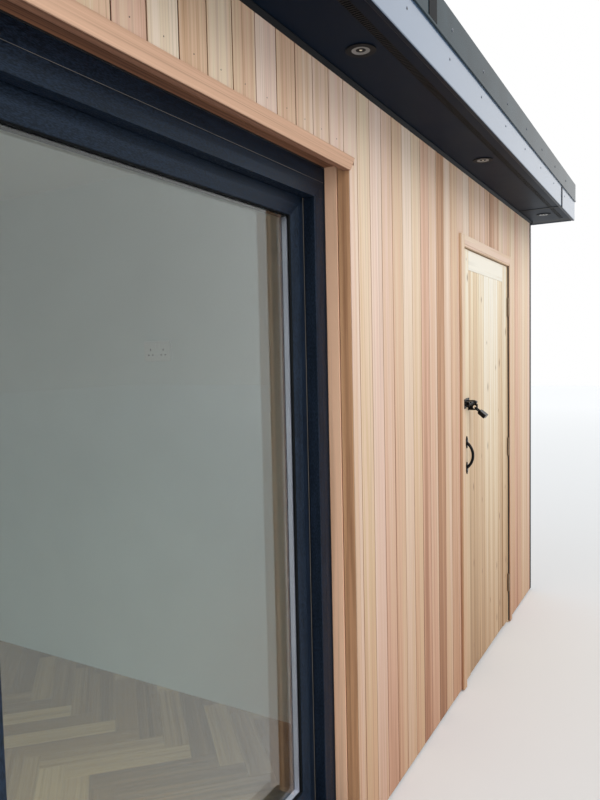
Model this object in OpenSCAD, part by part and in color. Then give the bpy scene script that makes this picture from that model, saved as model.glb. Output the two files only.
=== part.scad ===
// Garden office pod with a sliding glazed door, a store door and a flat overhanging roof.
// X runs to the right along the front, Y to the back and Z up. The origin is at the
// middle of the base of the whole outline, on the ground.

/* [Walls] */
// Width over the cladding faces
wall_w = 5560; // [5200:10:6400]
// Depth over the cladding faces
wall_d = 2800; // [2400:10:3600]
// Thickness of the timber cladding
clad_t = 20; // [14:1:28]
// Thickness of the insulated wall panels
panel_t = 150; // [120:5:200]
// Thickness of the inside lining
lining_t = 15; // [9:1:25]
// Gap between the ground and the lower edge of the cladding
clad_clear = 8; // [0:1:30]
// Thickness of the partition between office and store, without linings
partition_t = 75; // [50:5:120]
// Distance from the patio reveal to the office face of the partition
partition_x = 400; // [300:10:700]
// Width of one leg of the corner trims
corner_trim_w = 28; // [20:1:50]
// Thickness of the corner trims
corner_trim_t = 2; // [1:0.5:4]

/* [Floor] */
// Height of the insulated floor base
base_h = 50; // [30:5:120]
// Thickness of the office floor boards
floor_t = 15; // [8:1:25]

/* [Roof] */
// Height of the soffit above the ground
soffit_z = 2335; // [2280:5:2600]
// Thickness of the soffit boards
soffit_t = 10; // [6:1:20]
// Overhang of the roof in front of the cladding
overhang = 244; // [120:4:400]
// Overhang of the roof beside the walls
side_overhang = 105; // [40:5:300]
// Height of the fascia boards
fascia_h = 122; // [100:1:200]
// Thickness of the fascia boards
fascia_t = 16; // [10:1:25]
// How far the fascia hangs below the soffit
fascia_drop = 3; // [1:1:40]
// Fall of the roof surface from front to back
roof_fall = 65; // [20:5:80]
// Height of the kerb above the fascia
kerb_h = 93; // [40:1:120]
// Width of the kerb
kerb_w = 61; // [40:1:100]
// Sheet thickness of the edge caps
cap_t = 4; // [2:0.5:8]
// How far the caps lap down over the fascia
cap_lap = 8; // [4:1:20]
// How far the drip edge of the caps stands out
cap_drip = 2; // [1:1:12]
// Height of the drip edge
cap_drip_h = 8; // [3:1:12]
// Depth of the inner leg of the caps
cap_leg = 45; // [20:1:60]
// Thickness of the roof membrane
membrane_t = 4; // [2:1:10]
// Clearance between the sloping roof panel and what lies on it
roof_seat = 0.1; // [0.1:0.1:0.5]
// How far the membrane laps into the gutter
membrane_lap = 12; // [5:1:20]
// Thickness of the ceiling boards
ceiling_t = 15; // [9:1:25]
// Size of the trim between soffit and wall
soffit_trim = 12; // [8:1:25]
// Size of the lower edge of the trim between soffit and wall
soffit_trim_edge = 3; // [1:1:6]
// Width of the vent channel along the soffit
vent_w = 24; // [16:1:60]
// Depth of the vent channel
vent_d = 3; // [1:0.5:5]
// Distance of the vent channel from the back of the fascia
vent_in = 30; // [8:1:40]
// Width of the cover strips over the board joints
joint_strip_w = 26; // [15:1:50]
// Thickness of the cover strips
joint_strip_t = 2; // [1:0.5:4]
// Distance of the board joint from the right end of the walls
joint_strip_x = 380; // [300:10:900]
// Width of the lap strip on the front cap
cap_strip_w = 65; // [30:5:120]
// Distance of the cap lap strip from the patio reveal
cap_strip_x = 30; // [-300:10:300]

/* [Downlights] */
// Distance of the outer downlights from the ends of the walls
light_end = 198; // [120:2:400]
// Distance of the inner downlights from the middle one
light_pitch = 1225; // [900:5:1400]
// Radius of the bezel
light_r = 41; // [30:1:60]
// Radius of the hole in the soffit
light_hole_r = 34; // [25:1:50]
// Radius of the lens
light_lens_r = 25; // [15:1:35]
// Thickness of the bezel
light_t = 3; // [2:0.5:6]

/* [Gutter] */
// Width of the gutter
gutter_w = 100; // [80:5:130]
// Height of the gutter
gutter_h = 70; // [50:5:90]
// Sheet thickness of the gutter
gutter_t = 3; // [2:0.5:5]
// Width of the gutter brackets
bracket_w = 24; // [16:1:40]
// Number of gutter brackets
bracket_n = 7; // [3:1:12]
// Distance of the outer brackets from the ends of the gutter
bracket_end = 300; // [280:10:600]
// Radius of the downpipe
pipe_r = 34; // [25:1:50]
// Distance of the downpipe from the left end of the back
pipe_x = 140; // [80:5:200]
// Height of the foot of the downpipe above the ground
pipe_foot_z = 60; // [30:5:200]
// Height of a pipe clip
pipe_clip_h = 25; // [15:5:40]

/* [Patio reveal] */
// Distance of the reveal from the left end of the front
patio_x = 540; // [400:10:900]
// Width between the reveal faces
patio_w = 2400; // [1800:10:2600]
// Height of the reveal head above the ground
patio_z = 2095; // [2050:5:2150]
// Thickness of the cedar reveal lining
reveal_t = 31; // [18:1:40]
// Depth from the cladding face to the patio frame
reveal_d = 87; // [60:1:110]
// Height of the head trim board
head_trim_h = 42; // [30:1:70]
// How far the head trim hangs below the reveal head
head_trim_drop = 20; // [5:1:30]
// How far the head trim stands proud of the cladding
head_trim_proud = 4; // [2:1:20]
// How far the head trim reaches back under the reveal head
head_trim_d = 20; // [10:1:35]
// Thickness of the projecting sill
cill_h = 30; // [20:1:40]
// How far the sill projects in front of the cladding
cill_nose = 30; // [10:1:60]
// Height of the fall of the sill towards its nose
cill_fall = 8; // [4:1:14]
// Depth of the drip under the nose of the sill
cill_drip = 6; // [3:1:10]
// Width of the outer board of the reveal lining
reveal_board_w = 41; // [30:1:60]
// Size of the groove between the boards of the reveal lining
reveal_groove = 3; // [2:0.5:5]

/* [Patio door] */
// Width of frame that shows beside the reveal
frame_show_w = 58; // [40:1:80]
// Height of the head extension that shows below the reveal
frame_extra_h = 45; // [30:1:70]
// Height of the frame head that shows
frame_head_h = 49; // [40:1:70]
// Height of the frame sill
frame_sill_h = 45; // [35:1:60]
// Height of the floor of the sill track
track_floor_h = 20; // [12:1:25]
// Width of the sloped edge round the face of the frame
frame_slope_w = 28; // [10:1:35]
// Depth of the sloped edge round the face of the frame
frame_slope_d = 3; // [1:0.5:6]
// Size of the joint line between the frame and its extension
frame_joint = 2; // [1:0.5:3]
// Width of the sloped band round the glass
sash_slope_w = 24; // [10:1:30]
// Depth of the sloped band round the glass
sash_slope_d = 5; // [2:1:8]
// Width of the bead beside the slope
bead_w = 9; // [6:1:16]
// Width of the gasket between bead and glass
gasket_w = 4; // [2:1:8]
// Depth of the step that hides the edges of the sliding sash
frame_step = 10; // [6:1:15]
// Set-back of the sliding sash behind the face of the frame
sash_back = 43; // [40:1:50]
// Depth of the sliding sash
sash_t = 50; // [44:1:60]
// Width of the sash stiles
sash_stile_w = 67; // [62:1:120]
// Height of the top rail of the sash
sash_top_h = 67; // [62:1:100]
// Height of the bottom rail of the sash
sash_bottom_h = 86; // [82:1:130]
// Thickness of the glazing units
glass_t = 24; // [20:1:28]
// Set-back of the glass behind the sash face
glass_back = 18; // [14:1:20]
// Depth of the glass in the sash rebate
glass_bite = 12; // [8:1:20]
// Thickness of the fixed sash
fixed_t = 33; // [30:1:34]
// Overlap of the two sashes where they meet
sash_overlap = 60; // [50:5:90]
// Clearance round the sliding sash
sash_gap = 5; // [4:0.5:8]
// How far the patio door slides
slide_travel = 1050; // [600:10:1050]
// Width of the track rib
rib_w = 5; // [4:0.5:8]
// Height of the track rib
rib_h = 12; // [8:1:14]
// Radius of the sash rollers
roller_r = 13; // [10:1:15]
// Width of the sash rollers
roller_w = 8; // [5:1:10]
// Distance of each roller from the end of the sash
roller_x = 120; // [80:5:250]
// Clearance of a roller from its track rib
roller_gap = 0.3; // [0.2:0.1:1]
// Length of the finger pull inside the sash
pull_l = 220; // [120:10:400]
// Height of the middle of the pull above the ground
pull_z = 1050; // [900:10:1200]
// Width of the plate of the pull
pull_w = 26; // [20:1:36]
// Thickness of the plate and the lip of the pull
pull_t = 3; // [2:0.5:5]
// How far the lip of the pull stands off the sash
pull_d = 22; // [16:1:30]
// Width of the turned end of the lip
pull_turn = 7; // [5:1:12]
// Distance of the pull from the closing edge of the sash
pull_edge = 6; // [4:1:12]

/* [Store door] */
// Distance from the patio reveal to the door leaf
door_x = 1149; // [1050:1:1300]
// Width of the door leaf
door_w = 838; // [700:1:926]
// Height of the door leaf
door_h = 1981; // [1900:1:2040]
// Thickness of the door leaf
door_t = 44; // [40:1:54]
// Height of the lower edge of the leaf above the ground
door_z = 14; // [8:1:30]
// Set-back of the leaf behind the cladding face
door_back = 2; // [0:1:10]
// Clearance round the leaf
door_gap = 5; // [4:0.5:8]
// Width of the stiles of the leaf
stile_w = 97; // [80:1:120]
// Height of the top rail
top_rail_h = 90; // [80:1:120]
// Number of boards in the leaf
board_n = 7; // [5:1:9]
// Depth of the V grooves between the boards
board_groove = 4; // [2:0.5:6]
// Thickness of the boards of the leaf
board_t = 18; // [12:1:22]
// Set-back of the boards behind the stiles
board_back = 3; // [1:1:6]
// Height of the middle and bottom ledges
ledge_h = 160; // [120:5:220]
// Height of the middle of the middle ledge above the lower edge of the leaf
ledge_mid_z = 900; // [800:10:1100]
// Width of the diagonal braces
brace_w = 95; // [70:5:120]
// Thickness of the door frame
jamb_t = 30; // [24:1:40]
// Depth of the door stops
stop_d = 14; // [10:1:20]
// Thickness of the door stops
stop_t = 12; // [8:1:16]
// Width of the cedar trim round the door
door_trim_w = 42; // [35:1:60]
// Thickness of the cedar trim round the door
door_trim_t = 13; // [8:1:18]
// Gap between the leaf and the cedar trim
door_trim_gap = 12; // [10:1:16]

/* [Hinges] */
// Radius of the hinge knuckles
knuckle_r = 6; // [5:0.5:6]
// Height of a hinge
hinge_h = 100; // [75:5:150]
// Radius of the hinge pins
hinge_pin_r = 3; // [2:0.5:4]
// Running clearance of the hinge pins
hinge_fit = 0.08; // [0.05:0.01:0.1]
// Thickness of the hinge leaves
hinge_leaf_t = 2; // [1.5:0.1:2.3]
// Depth of the hinge leaves along the door edge
hinge_leaf_d = 30; // [20:1:38]
// Distance of the lowest hinge from the lower edge of the leaf
hinge_low = 220; // [150:10:300]
// Distance of the highest hinge from the upper edge of the leaf
hinge_high = 220; // [150:10:300]
// Clearance between the knuckles of a hinge
knuckle_gap = 0.5; // [0.3:0.1:1]

/* [Handle] */
// Height of the middle of the bow handle above the ground
handle_z = 1064; // [900:1:1200]
// Length of the bow handle over its ends
handle_l = 168; // [120:1:220]
// Width of the leaf shaped ends
handle_end_w = 24; // [18:1:36]
// Length of the leaf shaped ends
handle_end_l = 50; // [30:1:60]
// Thickness of the ends
handle_end_t = 5; // [2:1:6]
// How far the bow stands off the door
handle_d = 30; // [26:1:55]
// Radius of the bow
handle_r = 6.5; // [4:0.5:9]

/* [Bolt] */
// Height of the bolt above the ground
bolt_z = 1303; // [1200:1:1400]
// Radius of the bolt
bolt_r = 6; // [4:0.5:8]
// Distance of the bolt axis from the door face
bolt_out = 27; // [25:1:36]
// Length of the bolt plate on the door
bolt_plate_l = 86; // [60:1:96]
// Height of the bolt plate
bolt_plate_h = 42; // [30:1:60]
// Thickness of the bolt plate
bolt_plate_t = 3; // [2:0.5:5]
// Width of the loops that guide the bolt
bolt_loop_w = 14; // [8:1:20]
// Wall of the loops
bolt_loop_wall = 4; // [3:0.5:6]
// Clearance of the bolt in its loops
bolt_fit = 0.5; // [0.3:0.1:1]
// Travel of the bolt
bolt_travel = 30; // [15:1:34]

/* [Padlock] */
// Width of the padlock body
lock_w = 46; // [35:1:60]
// Height of the padlock body
lock_h = 38; // [30:1:50]
// Size of the cut corners of the padlock body
lock_corner = 12; // [6:1:16]
// Thickness of the padlock body
lock_t = 18; // [14:1:24]
// Radius of the shackle rod
shackle_r = 3.5; // [3:0.5:4]
// Radius of the bend of the shackle
shackle_bend = 13; // [10:1:18]
// Length of the straight legs of the shackle
shackle_leg = 12; // [8:1:30]
// Lean of the hanging padlock away from the door
lock_lean = 50; // [0:1:60]
// Radius of the hole in the ear that carries the padlock
lock_hole_r = 8; // [7:0.5:9]
// Width of the ear that carries the padlock
lock_ear_w = 28; // [24:1:34]
// Clearance between the shackle and the ear
lock_seat = 0.8; // [0.3:0.1:1]

/* [Wall socket] */
// Width of the socket plate
socket_w = 146; // [86:1:150]
// Height of the socket plate
socket_h = 86; // [80:1:90]
// Thickness of the socket plate
socket_t = 10; // [5:1:14]
// Distance of the socket behind the front cladding face
socket_y = 1116; // [600:1:1400]
// Height of the socket above the ground
socket_z = 1565; // [300:5:1700]

/* [Hidden] */
$fn = 48;

// Overlap that makes a cut pass clean through a face
cut = 1;

// Outline: the origin lies in the middle of the whole depth
cap_out = cap_t + cap_drip;
front_depth = overhang + cap_out;
back_depth = fascia_t + gutter_w + gutter_t;
face_y = front_depth - (front_depth + wall_d + back_depth) / 2;
back_y = face_y + wall_d;
half_w = wall_w / 2;

// Wall planes
panel_y = face_y + clad_t;
lining_y = panel_y + panel_t;
room_y = lining_y + lining_t;
panel_x = half_w - clad_t;
lining_x = panel_x - panel_t;
room_x = lining_x - lining_t;
back_panel_y = back_y - clad_t;
back_lining_y = back_panel_y - panel_t;
back_room_y = back_lining_y - lining_t;
floor_z = base_h + floor_t;
wall_top = soffit_z + soffit_t;

// Patio opening
reveal_l = -half_w + patio_x;
reveal_r = reveal_l + patio_w;
patio_l = reveal_l - reveal_t;
patio_r = reveal_r + reveal_t;
head_trim_z = patio_z - head_trim_drop;
patio_top = head_trim_z + head_trim_h;
cill_top = base_h + cill_h;
frame_y = face_y + reveal_d;
frame_in_l = reveal_l + frame_show_w;
frame_in_r = reveal_r - frame_show_w;
frame_lip_z = patio_z - frame_extra_h;
frame_in_top = frame_lip_z - frame_head_h;
sash_y = frame_y + sash_back;
step_y = sash_y - sash_gap;
frame_end_y = sash_y + sash_t + sash_gap;
meet_x = (frame_in_l + frame_in_r) / 2;

// Sliding sash
sash_l = meet_x - sash_overlap / 2;
sash_r = frame_in_r + frame_step - sash_gap;
sash_z = cill_top + track_floor_h + sash_gap;
sash_top = frame_in_top + frame_step - sash_gap;
fixed_r = meet_x + sash_overlap / 2;
fixed_z = cill_top + frame_sill_h;
rib_top = cill_top + track_floor_h + rib_h;
rib_y = sash_y + sash_t / 2;
groove_w = roller_w + 6;
groove_h = rib_h + 2 * roller_r + 4;

// Store door
leaf_l = reveal_r + door_x;
leaf_r = leaf_l + door_w;
leaf_top = door_z + door_h;
leaf_y = face_y + door_back;
leaf_back = leaf_y + door_t;
stop_y = leaf_back + door_gap;
jamb_in_l = leaf_l - door_gap;
jamb_in_r = leaf_r + door_gap;
jamb_out_l = jamb_in_l - jamb_t;
jamb_out_r = jamb_in_r + jamb_t;
jamb_in_top = leaf_top + door_gap;
jamb_out_top = jamb_in_top + jamb_t;
boards_y = leaf_y + board_back;
ledge_y = boards_y + board_t;
hinge_z = [hinge_low, (hinge_low + door_h - hinge_high) / 2, door_h - hinge_high];
hinge_x = leaf_r + door_gap / 2;
hinge_y = face_y - knuckle_r - knuckle_gap;

// Bolt: the plate on the stile, the keep on the cedar trim
bolt_y = leaf_y - bolt_out;
bolt_plate_x = leaf_l + 4;
bolt_tip_x = bolt_plate_x - 2;
trim_l = leaf_l - door_trim_gap - door_trim_w;
keep_x = leaf_l - door_trim_gap - bolt_loop_w - 1;
lock_ear_x = bolt_plate_x + bolt_plate_l;
lock_z = bolt_z - bolt_r - 2 * bolt_fit - lock_seat - lock_ear_w / 2;
bolt_l = bolt_plate_l + bolt_travel + 2;

// Partition and roof
part_l = reveal_r + partition_x + lining_t;
part_r = part_l + partition_t;
roof_y = face_y - overhang + fascia_t;
fascia_y = face_y - overhang;
fascia_z = soffit_z - fascia_drop;
fascia_top = fascia_z + fascia_h;
fascia_x = half_w + side_overhang;
roof_x = fascia_x - fascia_t;
roof_back_z = fascia_top - roof_fall;
kerb_top = fascia_top + kerb_h;
gutter_y = back_y + fascia_t;
gutter_top = roof_back_z - 5;
pipe_axis_x = -half_w + pipe_x;
pipe_axis_y = gutter_y + gutter_w / 2;
strip_x = half_w - joint_strip_x;
lap_x = reveal_r + cap_strip_x;
light_end_x = half_w - light_end;
light_x = [-light_end_x, -light_pitch, 0, light_pitch, light_end_x];
light_y = face_y - (overhang - fascia_t) / 2;

anthracite = [0.12, 0.13, 0.16];
cedar = [0.80, 0.62, 0.46];
cedar_dark = [0.66, 0.43, 0.30];
pine = [0.88, 0.78, 0.58];
timber = [0.75, 0.66, 0.50];
plaster = [0.80, 0.81, 0.80];
satin_grey = [0.33, 0.38, 0.46];
iron = [0.05, 0.05, 0.06];
glass_tint = [0.62, 0.72, 0.72, 0.4];

// A box between two corners
module span(low, high) {
    translate(low) cube(high - low);
}

// A side profile in Y and Z, extruded along X
module along_x(x_low, x_high, points) {
    translate([x_low, 0, 0]) rotate([90, 0, 90])
        linear_extrude(x_high - x_low) polygon(points);
}

// Floor

module floor_base() {
    color(timber) difference() {
        span([-panel_x, panel_y, 0], [panel_x, back_panel_y, base_h]);
        span([jamb_out_l, panel_y - cut, -cut], [jamb_out_r, stop_y, base_h + cut]);
    }
}

module office_floor() {
    color([0.62, 0.47, 0.32]) difference() {
        span([-lining_x, lining_y, base_h], [part_l, back_lining_y, floor_z]);
        span([patio_l, lining_y - cut, base_h - cut], [patio_r, frame_end_y, floor_z + cut]);
    }
}

// Wall panels

module front_wall_left() {
    color(timber) span([-panel_x, panel_y, base_h], [patio_l, lining_y, wall_top]);
}

module front_wall_middle() {
    color(timber) span([patio_r, panel_y, base_h], [jamb_out_l, lining_y, wall_top]);
}

module front_wall_right() {
    color(timber) span([jamb_out_r, panel_y, base_h], [panel_x, lining_y, wall_top]);
}

module patio_header() {
    color(timber) span([patio_l, panel_y, patio_top], [patio_r, lining_y, wall_top]);
}

module side_door_header() {
    color(timber) span([jamb_out_l, panel_y, jamb_out_top], [jamb_out_r, lining_y, wall_top]);
}

module back_wall() {
    color(timber) span([-panel_x, back_lining_y, base_h], [panel_x, back_panel_y, wall_top]);
}

module end_wall(x_low, x_high) {
    color(timber) span([x_low, lining_y, base_h], [x_high, back_lining_y, wall_top]);
}

module left_wall() {
    end_wall(-panel_x, -lining_x);
}

module right_wall() {
    end_wall(lining_x, panel_x);
}

module partition_wall() {
    color(timber) span([part_l, lining_y, base_h], [part_r, back_lining_y, wall_top - ceiling_t]);
}

// The lining of one room: a ring of boards on its four walls
module room_lining(x_low, x_high, z_low) {
    difference() {
        span([x_low, lining_y, z_low], [x_high, back_lining_y, wall_top - ceiling_t]);
        span([x_low + lining_t, room_y, z_low - cut],
            [x_high - lining_t, back_room_y, wall_top]);
    }
}

module wall_linings() {
    color(plaster) {
        difference() {
            room_lining(-lining_x, part_l, floor_z);
            span([patio_l, lining_y - cut, base_h - cut], [patio_r, room_y + cut, patio_top]);
        }
        difference() {
            room_lining(part_r, lining_x, base_h);
            span([jamb_out_l, lining_y - cut, base_h - cut],
                [jamb_out_r, room_y + cut, jamb_out_top]);
        }
    }
}

module ceiling() {
    color(plaster) span([-lining_x, lining_y, wall_top - ceiling_t],
        [lining_x, back_lining_y, wall_top]);
}

// Cladding

module cladding_front() {
    color(cedar) difference() {
        span([-half_w, face_y, clad_clear], [half_w, panel_y, wall_top]);
        span([patio_l, face_y - cut, base_h], [patio_r, panel_y + cut, patio_top]);
        span([jamb_out_l, face_y - cut, 0], [jamb_out_r, panel_y + cut, jamb_out_top]);
    }
}

module cladding_back() {
    color(cedar) span([-half_w, back_panel_y, clad_clear], [half_w, back_y, wall_top]);
}

module end_cladding(x_low, x_high) {
    color(cedar) span([x_low, panel_y, clad_clear], [x_high, back_panel_y, wall_top]);
}

module cladding_left() {
    end_cladding(-half_w, -panel_x);
}

module cladding_right() {
    end_cladding(panel_x, half_w);
}

// One angle trim outside a corner of the walls, drawn for the corner at +X and +Y
module corner_trim(trim_top) {
    difference() {
        span([half_w - corner_trim_w, back_y - corner_trim_w, clad_clear],
            [half_w + corner_trim_t, back_y + corner_trim_t, trim_top]);
        span([0, face_y, 0], [half_w, back_y, trim_top + cut]);
    }
}

module corner_trims() {
    middle_y = (face_y + back_y) / 2;
    color(iron) for (side = [0, 1]) mirror([side, 0, 0]) {
        corner_trim(soffit_z - soffit_trim);
        translate([0, middle_y, 0]) mirror([0, 1, 0]) translate([0, -middle_y, 0])
            corner_trim(soffit_z - soffit_trim);
    }
}

// Patio reveal

// A groove round the reveal between its outer and inner boards
module reveal_groove_cut() {
    groove_y = face_y + reveal_board_w;
    span([reveal_l - reveal_groove, groove_y, base_h],
        [reveal_r + reveal_groove, groove_y + reveal_groove, patio_z + reveal_groove]);
}

module reveal_lining() {
    color(cedar_dark) difference() {
        span([patio_l, face_y, cill_top], [patio_r, frame_y, patio_top]);
        span([reveal_l, face_y - cut, base_h], [reveal_r, frame_y + cut, patio_z]);
        reveal_groove_cut();
    }
}

// The head trim ends in mitres over the edges of the reveal lining
module patio_head_trim() {
    color(cedar_dark) {
        translate([0, face_y, 0]) rotate([90, 0, 0]) linear_extrude(head_trim_proud)
            polygon([[reveal_l, head_trim_z], [reveal_r, head_trim_z], [patio_r, patio_top],
                [patio_l, patio_top]]);
        span([reveal_l, face_y, head_trim_z], [reveal_r, face_y + head_trim_d, patio_z]);
    }
}

module patio_cill() {
    nose_y = face_y - cill_nose;
    color(anthracite) {
        span([patio_l, face_y, base_h], [patio_r, frame_end_y, cill_top]);
        along_x(reveal_l - cill_nose, reveal_r + cill_nose, [
            [nose_y, base_h - cill_drip],
            [nose_y + cill_drip, base_h - cill_drip],
            [nose_y + cill_drip, base_h],
            [face_y, base_h],
            [face_y, cill_top],
            [nose_y, cill_top - cill_fall]]);
    }
}

// A rectangle in X and Z, grown by a margin, at a place along Y
function ring(low, high, margin, y) = [
    [low.x - margin, y, low.z - margin], [high.x + margin, y, low.z - margin],
    [high.x + margin, y, high.z + margin], [low.x - margin, y, high.z + margin]];

// A funnel with mitred corners, through rectangles given as pairs of margin and depth
module funnel(low, high, y, steps) {
    rings = [for (step = steps) each ring(low, high, step[0], y + step[1])];
    last = 4 * (len(steps) - 1);
    sides = [for (base = [0:4:last - 4], i = [0:3])
        [base + i, base + (i + 1) % 4, base + 4 + (i + 1) % 4, base + 4 + i]];
    polyhedron(points = rings,
        faces = concat([[3, 2, 1, 0]], sides, [[last, last + 1, last + 2, last + 3]]));
}

// The sight opening of the frame with its sloped edge, and the step behind it that
// hides the edges of the sliding sash
module frame_opening() {
    low = [frame_in_l, frame_y, fixed_z];
    high = [frame_in_r, frame_y, frame_in_top];
    funnel(low, high, frame_y, [[frame_slope_w + cut, -cut * frame_slope_d / frame_slope_w],
        [frame_slope_w / 3, frame_slope_d / 2], [0, frame_slope_d], [0, sash_back]]);
    span([low.x - frame_step, step_y, cill_top + track_floor_h],
        [high.x + frame_step, frame_end_y + cut, high.z + frame_step]);
}

module patio_frame_head() {
    color(anthracite) difference() {
        span([patio_l, frame_y, frame_in_top], [patio_r, frame_end_y, patio_top]);
        frame_opening();
        span([patio_l - cut, frame_y - cut, frame_lip_z - frame_joint],
            [patio_r + cut, frame_y + frame_joint, frame_lip_z]);
    }
}

module patio_frame_jambs() {
    color(anthracite) difference() {
        span([patio_l, frame_y, fixed_z], [patio_r, frame_end_y, frame_in_top]);
        frame_opening();
    }
}

module patio_frame_sill() {
    track_z = cill_top + track_floor_h;
    color(anthracite) {
        difference() {
            span([patio_l, frame_y, cill_top], [patio_r, frame_end_y, fixed_z]);
            frame_opening();
        }
        span([frame_in_l, rib_y - rib_w / 2, track_z], [frame_in_r, rib_y + rib_w / 2, rib_top]);
    }
}

// A glazed sash: the sight opening with its sloped band, bead and gasket, and the rebate
module sash(low, high, stile, top_h, bottom_h, slope_d, glass_y) {
    sight_low = [low.x + stile, low.y, low.z + bottom_h];
    sight_high = [high.x - stile, high.y, high.z - top_h];
    edge_w = bead_w + gasket_w;
    bead_d = slope_d / 2;
    difference() {
        span(low, high);
        funnel(sight_low, sight_high, low.y, [
            [edge_w + sash_slope_w + cut, -cut * slope_d / sash_slope_w], [edge_w, slope_d],
            [gasket_w, slope_d + bead_d], [0, glass_y - low.y], [0, high.y - low.y + cut]]);
        glazing(low, high, stile, top_h, bottom_h, glass_y);
    }
}

module glazing(low, high, stile, top_h, bottom_h, glass_y) {
    inset = stile - glass_bite;
    span([low.x + inset, glass_y, low.z + bottom_h - glass_bite],
        [high.x - inset, glass_y + glass_t, high.z - top_h + glass_bite]);
}

fixed_y = step_y - fixed_t;
fixed_low = [frame_in_l, fixed_y, fixed_z];
fixed_high = [fixed_r, step_y, frame_in_top];
fixed_top_h = sash_top_h - frame_step + sash_gap;
fixed_bottom_h = sash_bottom_h - frame_sill_h + track_floor_h + sash_gap;
fixed_stile_w = sash_stile_w - frame_step + sash_gap;
fixed_glass_y = fixed_y + (fixed_t - glass_t) / 2;
fixed_slope_d = (fixed_t - glass_t) / 4;

module fixed_sash() {
    color(anthracite) sash(fixed_low, fixed_high, fixed_stile_w,
        fixed_top_h, fixed_bottom_h, fixed_slope_d, fixed_glass_y);
}

module fixed_glass() {
    color(glass_tint) glazing(fixed_low, fixed_high, fixed_stile_w,
        fixed_top_h, fixed_bottom_h, fixed_glass_y);
}

sash_low = [sash_l, sash_y, sash_z];
sash_high = [sash_r, sash_y + sash_t, sash_top];

module sliding_sash() {
    color(anthracite) difference() {
        sash(sash_low, sash_high, sash_stile_w, sash_top_h, sash_bottom_h, sash_slope_d,
            sash_y + glass_back);
        span([sash_l - cut, rib_y - groove_w / 2, sash_z - cut],
            [sash_r + cut, rib_y + groove_w / 2, sash_z + groove_h]);
    }
}

module sliding_glass() {
    color(glass_tint) glazing(sash_low, sash_high, sash_stile_w, sash_top_h, sash_bottom_h,
        sash_y + glass_back);
}

module sash_rollers() {
    roller_z = rib_top + roller_gap + roller_r;
    color([0.55, 0.55, 0.56]) for (x = [sash_l + roller_x, sash_r - roller_x])
        translate([x, rib_y, roller_z]) rotate([90, 0, 0]) {
            cylinder(h = roller_w, r = roller_r, center = true);
            cylinder(h = groove_w, r = roller_r / 3, center = true);
        }
}

// A finger pull on the inner face of the closing stile
module sash_pull() {
    x = sash_r - pull_edge;
    y = sash_y + sash_t;
    color(anthracite) translate([x, y, pull_z - pull_l / 2]) linear_extrude(pull_l) polygon([
        [-pull_w, 0], [0, 0], [0, pull_d], [-pull_turn, pull_d],
        [-pull_turn, pull_d - pull_t], [-pull_t, pull_d - pull_t],
        [-pull_t, pull_t], [-pull_w, pull_t]]);
}

// Store door frame

module store_jamb(side, x_in) {
    x_out = x_in + side * jamb_t;
    x_stop = x_in - side * stop_d;
    x_low = min(x_in, x_out);
    x_high = max(x_in, x_out);
    span([x_low, face_y, 0], [x_high, stop_y, base_h]);
    span([x_low, face_y, base_h], [x_high, room_y, jamb_in_top]);
    span([min(x_stop, x_in), stop_y, base_h], [max(x_stop, x_in), stop_y + stop_t, jamb_in_top]);
}

module side_door_jambs() {
    color(pine) {
        store_jamb(-1, jamb_in_l);
        store_jamb(1, jamb_in_r);
    }
}

module side_door_head() {
    color(pine) {
        span([jamb_out_l, face_y, jamb_in_top], [jamb_out_r, room_y, jamb_out_top]);
        span([jamb_in_l + stop_d, stop_y, jamb_in_top - stop_d],
            [jamb_in_r - stop_d, stop_y + stop_t, jamb_in_top]);
    }
}

module side_door_trim() {
    x_in = door_trim_gap;
    x_out = door_trim_gap + door_trim_w;
    color(cedar) difference() {
        span([leaf_l - x_out, face_y - door_trim_t, clad_clear],
            [leaf_r + x_out, face_y, leaf_top + x_out]);
        span([leaf_l - x_in, face_y - door_trim_t - cut, 0],
            [leaf_r + x_in, face_y + cut, leaf_top + x_in]);
    }
}

// Store door leaf

module door_stiles() {
    color(pine) difference() {
        span([leaf_l, leaf_y, door_z], [leaf_r, leaf_back, leaf_top]);
        span([leaf_l + stile_w, leaf_y - cut, door_z - cut],
            [leaf_r - stile_w, leaf_back + cut, leaf_top - top_rail_h]);
    }
}

// The boards of the leaf in one slab, with a V groove at each joint
module door_boards() {
    boards_w = door_w - 2 * stile_w;
    color(pine) difference() {
        span([leaf_l + stile_w, boards_y, door_z],
            [leaf_r - stile_w, ledge_y, leaf_top - top_rail_h]);
        for (i = [1:board_n - 1])
            translate([leaf_l + stile_w + i * boards_w / board_n, boards_y, door_z - cut])
                cylinder(h = door_h + 2 * cut, r = board_groove, $fn = 4);
    }
}

// A diagonal brace that rises away from the hinges
module brace(z_low, z_high) {
    x_low = leaf_l + stile_w;
    x_high = leaf_r - stile_w;
    translate([0, leaf_back, 0]) rotate([90, 0, 0]) linear_extrude(leaf_back - ledge_y)
        polygon([[x_low, z_high], [x_low, z_high - brace_w], [x_high, z_low],
            [x_high, z_low + brace_w]]);
}

module door_ledges() {
    mid_z = door_z + ledge_mid_z;
    color(pine) {
        for (z = [door_z, mid_z - ledge_h / 2]) span([leaf_l + stile_w, ledge_y, z],
            [leaf_r - stile_w, leaf_back, z + ledge_h]);
        brace(door_z + ledge_h, mid_z - ledge_h / 2);
        brace(mid_z + ledge_h / 2, leaf_top - top_rail_h);
    }
}

// Hinges: a fixed middle knuckle with the pin, and moving knuckles above and below it

knuckle_h = hinge_h / 3;

module knuckle(z, bore) {
    translate([hinge_x, hinge_y, z]) difference() {
        cylinder(h = knuckle_h - knuckle_gap, r = knuckle_r);
        if (bore > 0) translate([0, 0, -cut]) cylinder(h = knuckle_h + 2 * cut, r = bore);
    }
}

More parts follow.
